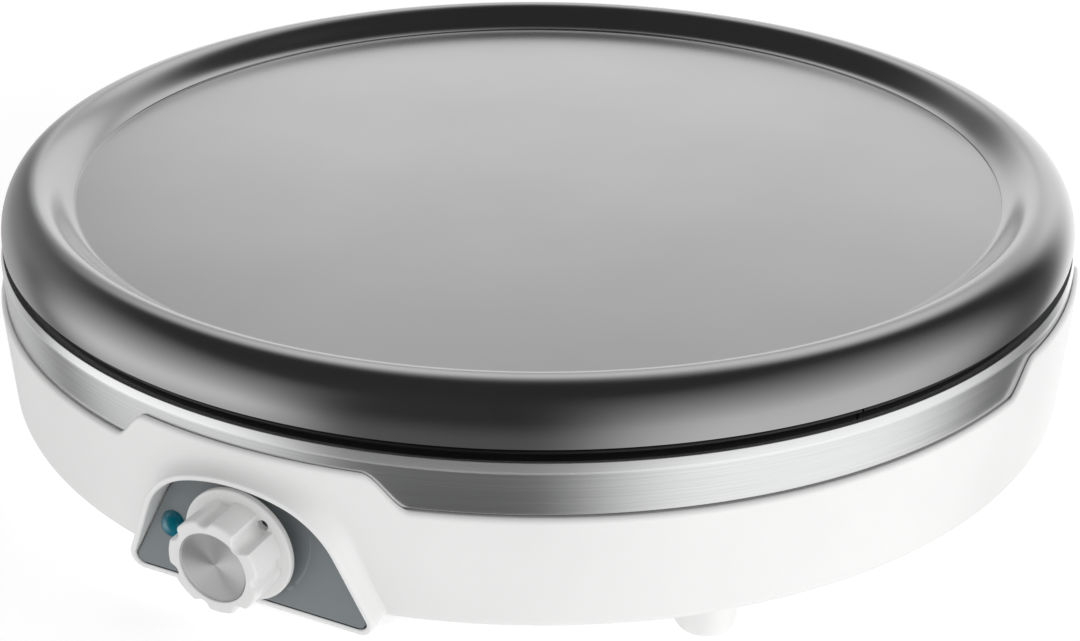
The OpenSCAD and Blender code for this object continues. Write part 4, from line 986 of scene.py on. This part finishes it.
def make_scale():
    """The printed scale beside the knob: a wedge that grows as the heat does, and its end mark."""
    outer, inner = [], []
    for i in range(SCALE_STEPS + 1):
        t = i / SCALE_STEPS
        a = math.radians(SCALE_FROM - SCALE_SPAN * t)
        inside = SCALE_R - (SCALE_THIN + SCALE_GAIN * t)
        outer.append((SCALE_R * math.cos(a), SCALE_R * math.sin(a)))
        inner.append((inside * math.cos(a), inside * math.sin(a)))
    wedge = plate_shape(outer + list(reversed(inner)), WEDGE_T)
    w, h = MARK_HALF
    mark = plate_shape([(-w, -h), (w, -h), (w, h), (-w, h)], MARK_T)
    spot = fascia_frame(*MARK_PLACE) @ Matrix.Rotation(math.radians(MARK_TURN), 4, "Z")
    shell = joined(moved(wedge, fascia_frame(0, 0)), moved(mark, spot))
    make_object("scale_print", shell, "print_grey", "base", 30)


LENS_NECK_R = 3.5
LENS_NECK_Z = -0.3
LENS_BACK_Z = -3.0


def make_lens():
    """The indicator's dome, and the start of its barrel behind the face."""
    r = (LENS_R**2 + DOME_H**2) / (2 * DOME_H)
    a = math.degrees(math.asin(LENS_R / r))
    dome = arc(0, DOME_H - r, r, 90, 90 - a, 14)
    neck = [(LENS_NECK_R, LENS_NECK_Z), (LENS_NECK_R, LENS_BACK_Z), (0.0, LENS_BACK_Z)]
    lens = turned(dome + [(LENS_R, 0.0)] + neck, segments=64)
    shell = moved(lens, fascia_frame(-LENS_X, -LENS_DROP))
    make_object("lens_look", shell, "lens_teal", "base", 50, ["indicator_lens"])


# ------------------------------------------------------------------ the knob

GRIP_SAMPLES = 840
# Samples on each side that the softening of the grooves' edges takes in
SOFTEN = 5


def grip_outline(inset):
    """Radius of the grip at equal angles, clockwise from the top, softened at the grooves' edges."""
    groove = GROOVE_W / 2
    raw = []
    for i in range(GRIP_SAMPLES):
        a = 360.0 * i / GRIP_SAMPLES
        turn = (a - POINTER_A + 180.0 / GRIP_N) % 360.0
        off = turn % (360.0 / GRIP_N) - 180.0 / GRIP_N
        depth = POINTER_GROOVE if turn < 360.0 / GRIP_N else GRIP_GROOVE
        centre = GRIP_R + groove - depth
        side = centre * math.sin(math.radians(off))
        radius = GRIP_R
        if abs(side) < groove:
            cut = centre * math.cos(math.radians(off)) - math.sqrt(groove**2 - side**2)
            radius = min(radius, cut)
        raw.append(radius - inset)
    taken = range(-SOFTEN, SOFTEN + 1)
    return [sum(raw[(i + k) % GRIP_SAMPLES] for k in taken) / len(taken) for i in range(GRIP_SAMPLES)]


GRIP_MID_Z = 6.0
GRIP_EDGE_R = 1.0
CAP_GAP = 0.08
# The rim of the cap's seat: how far each step is out from the seat's wall and down from the grip's top
SEAT_RIM = ((0.25, 0.0), (0.05, 0.12), (0.0, 0.4), (0.0, CAP_SEAT + 0.8))


def grip_shell():
    """The grooved grip with its rounded top edge, and the seat of the cap in its top."""
    n = GRIP_SAMPLES
    levels = [(0.0, 0.0), (0.0, GRIP_MID_Z), (0.0, GRIP_LEN - GRIP_EDGE_R - 0.2)]
    for a in (15, 30, 45, 60, 75, 90):
        t = math.radians(a)
        inset = GRIP_EDGE_R - GRIP_EDGE_R * math.cos(t)
        levels.append((inset, GRIP_LEN - GRIP_EDGE_R + GRIP_EDGE_R * math.sin(t)))
    rows = [(grip_outline(inset), height) for inset, height in levels]
    rows += [([CAP_R + CAP_GAP + out] * n, GRIP_LEN - down) for out, down in SEAT_RIM]
    points, faces = [], []
    for radii, height in rows:
        for i, r in enumerate(radii):
            a = 2 * math.pi * i / n
            points.append((r * math.sin(a), r * math.cos(a), height))
    for row in range(len(rows) - 1):
        low, high = row * n, (row + 1) * n
        for i in range(n):
            j = (i + 1) % n
            faces.append((low + i, high + i, high + j, low + j))
    return points, faces


def flat_with_hole(outer, hole, z):
    """A flat face at height z between an outer path and a hole."""
    points = [Vector((x, y, z)) for x, y in outer + hole]
    loops = [points[: len(outer)], points[len(outer) :]]
    return [tuple(p) for p in points], [tuple(t) for t in tessellate_polygon(loops)]


FLANGE_SEGMENTS = 180
FLANGE_EDGE_W = 0.9
HOLE_SEGMENTS = 32
# How far the hole stays off the groove's floor
HOLE_GAP = 0.05
SOCKET_R = 5.5
SOCKET_END_Z = -1.4


def flange_shell():
    """The flange under the grip with the pointer hole through it, and a socket inside it."""
    edge = rounded(
        [
            (FLANGE_R - FLANGE_EDGE_W, 0.0, 0),
            (FLANGE_R, 0.0, 0.7),
            (FLANGE_R, -FLANGE_T, 0.4),
            (FLANGE_R - FLANGE_EDGE_W, -FLANGE_T, 0),
        ]
    )
    socket = [(SOCKET_R, -FLANGE_T), (SOCKET_R, SOCKET_END_Z), (0.0, SOCKET_END_Z)]
    a = math.radians(POINTER_A)
    reach = GRIP_R - POINTER_GROOVE + HOLE_R + HOLE_GAP
    hole_x, hole_y = reach * math.sin(a), reach * math.cos(a)
    n = HOLE_SEGMENTS
    turns = [2 * math.pi * i / n for i in range(n)]
    hole = [(hole_x + HOLE_R * math.cos(t), hole_y + HOLE_R * math.sin(t)) for t in turns]
    rim = [(x, y) for x, y, _ in turned([edge[0]], FLANGE_SEGMENTS)[0]]
    bore = [(x, y, z) for z in (0.0, -FLANGE_T) for x, y in hole]
    bore_faces = [(i, (i + 1) % n, n + (i + 1) % n, n + i) for i in range(n)]
    return joined(
        turned(edge, FLANGE_SEGMENTS),
        flat_with_hole(rim, hole, 0.0),
        flat_with_hole(rim, hole, -FLANGE_T),
        (bore, bore_faces),
        turned(socket, FLANGE_SEGMENTS),
    )


def make_knob():
    """The white knob in one piece: grip and flange."""
    shell = moved(joined(grip_shell(), flange_shell()), knob_frame(FLANGE_DIST))
    make_object("knob_look", shell, "knob_white", "knob", 38, ["control_knob"])


# The cap's dished face rises in rings from its middle to its border
CAP_MID_R = 0.6
CAP_MID_H = 0.03
CAP_RINGS = 20
CAP_BORDER_W = 0.6
CAP_BORDER_H = 0.02
CAP_BORDER_ROUND = 0.25
CAP_SIDE = 1.5
CAP_SUNK = 0.15


def make_cap():
    """The knob's metal cap: a shallow dish with a rounded border, and its side down into the seat."""
    profile = [(0.0, -CAP_DISH), (CAP_MID_R, -CAP_DISH + CAP_MID_H)]
    for k in range(1, CAP_RINGS + 1):
        out = (CAP_R - CAP_MID_R - CAP_BORDER_W) * k / CAP_RINGS
        up = (CAP_DISH - CAP_MID_H - CAP_BORDER_H) * k / CAP_RINGS
        profile.append((CAP_MID_R + out, -CAP_DISH + CAP_MID_H + up))
    border = [
        (CAP_R - CAP_BORDER_W, -CAP_BORDER_H, 0),
        (CAP_R, CAP_BORDER_H, CAP_BORDER_ROUND),
        (CAP_R, -CAP_SIDE, 0),
    ]
    profile += rounded(border, steps=4)[1:]
    place = knob_frame(FLANGE_DIST + GRIP_LEN - CAP_SEAT + CAP_DISH - CAP_SUNK)
    shell = moved(turned(profile, segments=240), place)
    make_object("cap_look", shell, "cap_metal", "knob", 50, ["knob_cap"])


# ---------------------------------------------------------------------- feet

PAD_GAP = 0.05
PAD_SEAT_Z = 3.4
# How far a foot goes up into the base's rounded edge
FOOT_SUNK = 0.9


def make_feet():
    """The four tapered feet, each with a hole for its pad."""
    profile = rounded(
        [
            (PAD_R + PAD_GAP, PAD_SEAT_Z, 0),
            (PAD_R + PAD_GAP, PAD_PROUD, 0),
            (FOOT_LOW_R, PAD_PROUD, FOOT_EDGE_R),
            (FOOT_TOP_R, BASE_Z + FOOT_SUNK, 0),
        ],
        steps=8,
    )
    foot = turned(profile, segments=72)
    feet = []
    for a in (FOOT_A, -FOOT_A, 180 - FOOT_A, 180 + FOOT_A):
        t = math.radians(a)
        place = Matrix.Translation((FOOT_R * math.sin(t), -FOOT_R * math.cos(t), 0))
        feet.append(moved(foot, place))
    make_object("feet_look", joined(*feet), "housing_white", "base", 40, ["feet"])


make_plate()
make_ring()
make_band()
make_housing()
make_fascia()
make_scale()
make_lens()
make_knob()
make_cap()
make_feet()

# --------------------------------------------------------- stage and lights

FLOOR_HALF = 6.0
FLOOR_GREY = (0.9, 0.9, 0.9, 1)
FLOOR_GLOW = 0.45


def add_floor():
    """A pale floor that glows a little and takes the object's shadow."""
    n = FLOOR_HALF
    mesh = bpy.data.meshes.new("floor")
    mesh.from_pydata([(-n, -n, 0), (n, -n, 0), (n, n, 0), (-n, n, 0)], [], [(0, 1, 2, 3)])
    floor = bpy.data.objects.new("floor", mesh)
    bpy.context.scene.collection.objects.link(floor)
    material = bpy.data.materials.new("floor")
    material.use_nodes = True
    tree = material.node_tree
    shader = tree.nodes["Principled BSDF"]
    shader.inputs["Base Color"].default_value = FLOOR_GREY
    shader.inputs["Roughness"].default_value = 0.9
    shader.inputs["Specular IOR Level"].default_value = 0.0
    light = tree.nodes.new("ShaderNodeEmission")
    light.inputs["Strength"].default_value = FLOOR_GLOW
    add = tree.nodes.new("ShaderNodeAddShader")
    tree.links.new(shader.outputs[0], add.inputs[0])
    tree.links.new(light.outputs[0], add.inputs[1])
    tree.links.new(add.outputs[0], tree.nodes["Material Output"].inputs["Surface"])
    mesh.materials.append(material)
    floor.visible_glossy = False


# Light that the surfaces get from the horizon and from straight above
AMBIENT_LOW = 1.08
AMBIENT_HIGH = 0.4
# What reflections show low down, at mid height and high up, and the heights (-1 down to 1 up) between
# which they change
STUDIO_LOW = 0.02
STUDIO_MID = 0.15
STUDIO_HIGH = 0.035
LOW_TO_MID = (-0.9, -0.5)
MID_TO_HIGH = (-0.4, 0.3)
# Each panel that reflections show: its direction, half its width, the softness of its sides, the heights
# in degrees over which it fades in and out, and its level
STUDIO_PANELS = (
    (191, 32, 12, None, (20, 36), 1.08),
    (198, 34, 16, (26, 38), (46, 82), 1.02),
    (81, 32, 24, None, (-2, 62), 0.83),
    (308, 26, 16, (-90, -5), (-10, 43), 1.0),
    (240, 20, 12, None, (-15, 22), 0.4),
    (252, 22, 14, (-6, 14), (20, 46), 0.18),
)
# A panel that fades out over more degrees than this does so evenly
LONG_FADE = 50
# The least level part of a direction, so that nothing is divided by zero
LEVEL_MIN = 0.001


def add_world():
    """White behind the object, a soft light on it, and soft panels in its reflections."""
    world = bpy.data.worlds.new("studio")
    bpy.context.scene.world = world
    world.use_nodes = True
    tree = world.node_tree
    tree.nodes.clear()

    def calc(operation, a, b=None):
        """What a maths node makes of one or two sockets or numbers."""
        node = tree.nodes.new("ShaderNodeMath")
        node.operation = operation
        for socket, value in zip(node.inputs, (a, b)):
            if isinstance(value, bpy.types.NodeSocket):
                tree.links.new(value, socket)
            elif value is not None:
                socket.default_value = value
        return node.outputs[0]

    def window(value, low, high, start, end):
        """A smooth change from start to end as the value goes from low to high."""
        node = tree.nodes.new("ShaderNodeMapRange")
        node.interpolation_type = "SMOOTHSTEP"
        tree.links.new(value, node.inputs["Value"])
        limits = (("From Min", low), ("From Max", high), ("To Min", start), ("To Max", end))
        for name, number in limits:
            node.inputs[name].default_value = number
        return node.outputs["Result"]

    def background(colour):
        """A background of a colour or of a socket's value."""
        node = tree.nodes.new("ShaderNodeBackground")
        if isinstance(colour, bpy.types.NodeSocket):
            tree.links.new(colour, node.inputs["Color"])
        else:
            node.inputs["Color"].default_value = colour
        return node.outputs[0]

    def chosen(switch, off, on):
        """One background where the switch is 0, the other where it is 1."""
        node = tree.nodes.new("ShaderNodeMixShader")
        for socket, value in zip(node.inputs, (switch, off, on)):
            tree.links.new(value, socket)
        return node.outputs[0]

    coords = tree.nodes.new("ShaderNodeTexCoord")
    split = tree.nodes.new("ShaderNodeSeparateXYZ")
    tree.links.new(coords.outputs["Generated"], split.inputs[0])
    x, y, z = split.outputs
    length = calc("SQRT", calc("ADD", calc("MULTIPLY", x, x), calc("MULTIPLY", y, y)))
    level_part = calc("MAXIMUM", length, LEVEL_MIN)
    total = calc(
        "ADD",
        window(z, *LOW_TO_MID, STUDIO_LOW, STUDIO_MID),
        window(z, *MID_TO_HIGH, 0.0, STUDIO_HIGH - STUDIO_MID),
    )
    for turn, half, soft, rise, fall, level in STUDIO_PANELS:
        a = math.radians(turn)
        along_x, along_y = calc("MULTIPLY", x, math.sin(a)), calc("MULTIPLY", y, -math.cos(a))
        facing = calc("DIVIDE", calc("ADD", along_x, along_y), level_part)
        outer, inner = (math.cos(math.radians(angle)) for angle in (half + soft, half - soft))
        panel = window(facing, outer, inner, 0, level)
        if rise:
            foot = window(z, *(math.sin(math.radians(angle)) for angle in rise), 0, 1)
            panel = calc("MULTIPLY", panel, foot)
        head = window(z, *(math.sin(math.radians(angle)) for angle in fall), 1, 0)
        if fall[1] - fall[0] > LONG_FADE:
            head.node.interpolation_type = "LINEAR"
        total = calc("ADD", total, calc("MULTIPLY", panel, head))
    ambient = background(window(z, 0.0, 1.0, AMBIENT_LOW, AMBIENT_HIGH))
    path = tree.nodes.new("ShaderNodeLightPath")
    lit = chosen(path.outputs["Is Glossy Ray"], ambient, background(total))
    straight = calc("MAXIMUM", path.outputs["Is Camera Ray"], path.outputs["Is Transmission Ray"])
    seen = chosen(straight, lit, background((1, 1, 1, 1)))
    output = tree.nodes.new("ShaderNodeOutputWorld")
    tree.links.new(seen, output.inputs["Surface"])


KEY_PLACE = (2.0, 0.0, 0.5)
KEY_TARGET = (0, 0, 0.05)
KEY_SIZE = 1.0
KEY_POWER = 9.0


def add_key_lamp():
    """A soft lamp from the side, which reflections don't show."""
    data = bpy.data.lights.new("key", "AREA")
    data.shape = "DISK"
    data.size = KEY_SIZE
    data.energy = KEY_POWER
    lamp = bpy.data.objects.new("key", data)
    bpy.context.scene.collection.objects.link(lamp)
    lamp.matrix_world = aimed(KEY_PLACE, KEY_TARGET)
    lamp.visible_glossy = False


add_floor()
add_world()
add_key_lamp()

bpy.context.scene.view_settings.view_transform = "Standard"
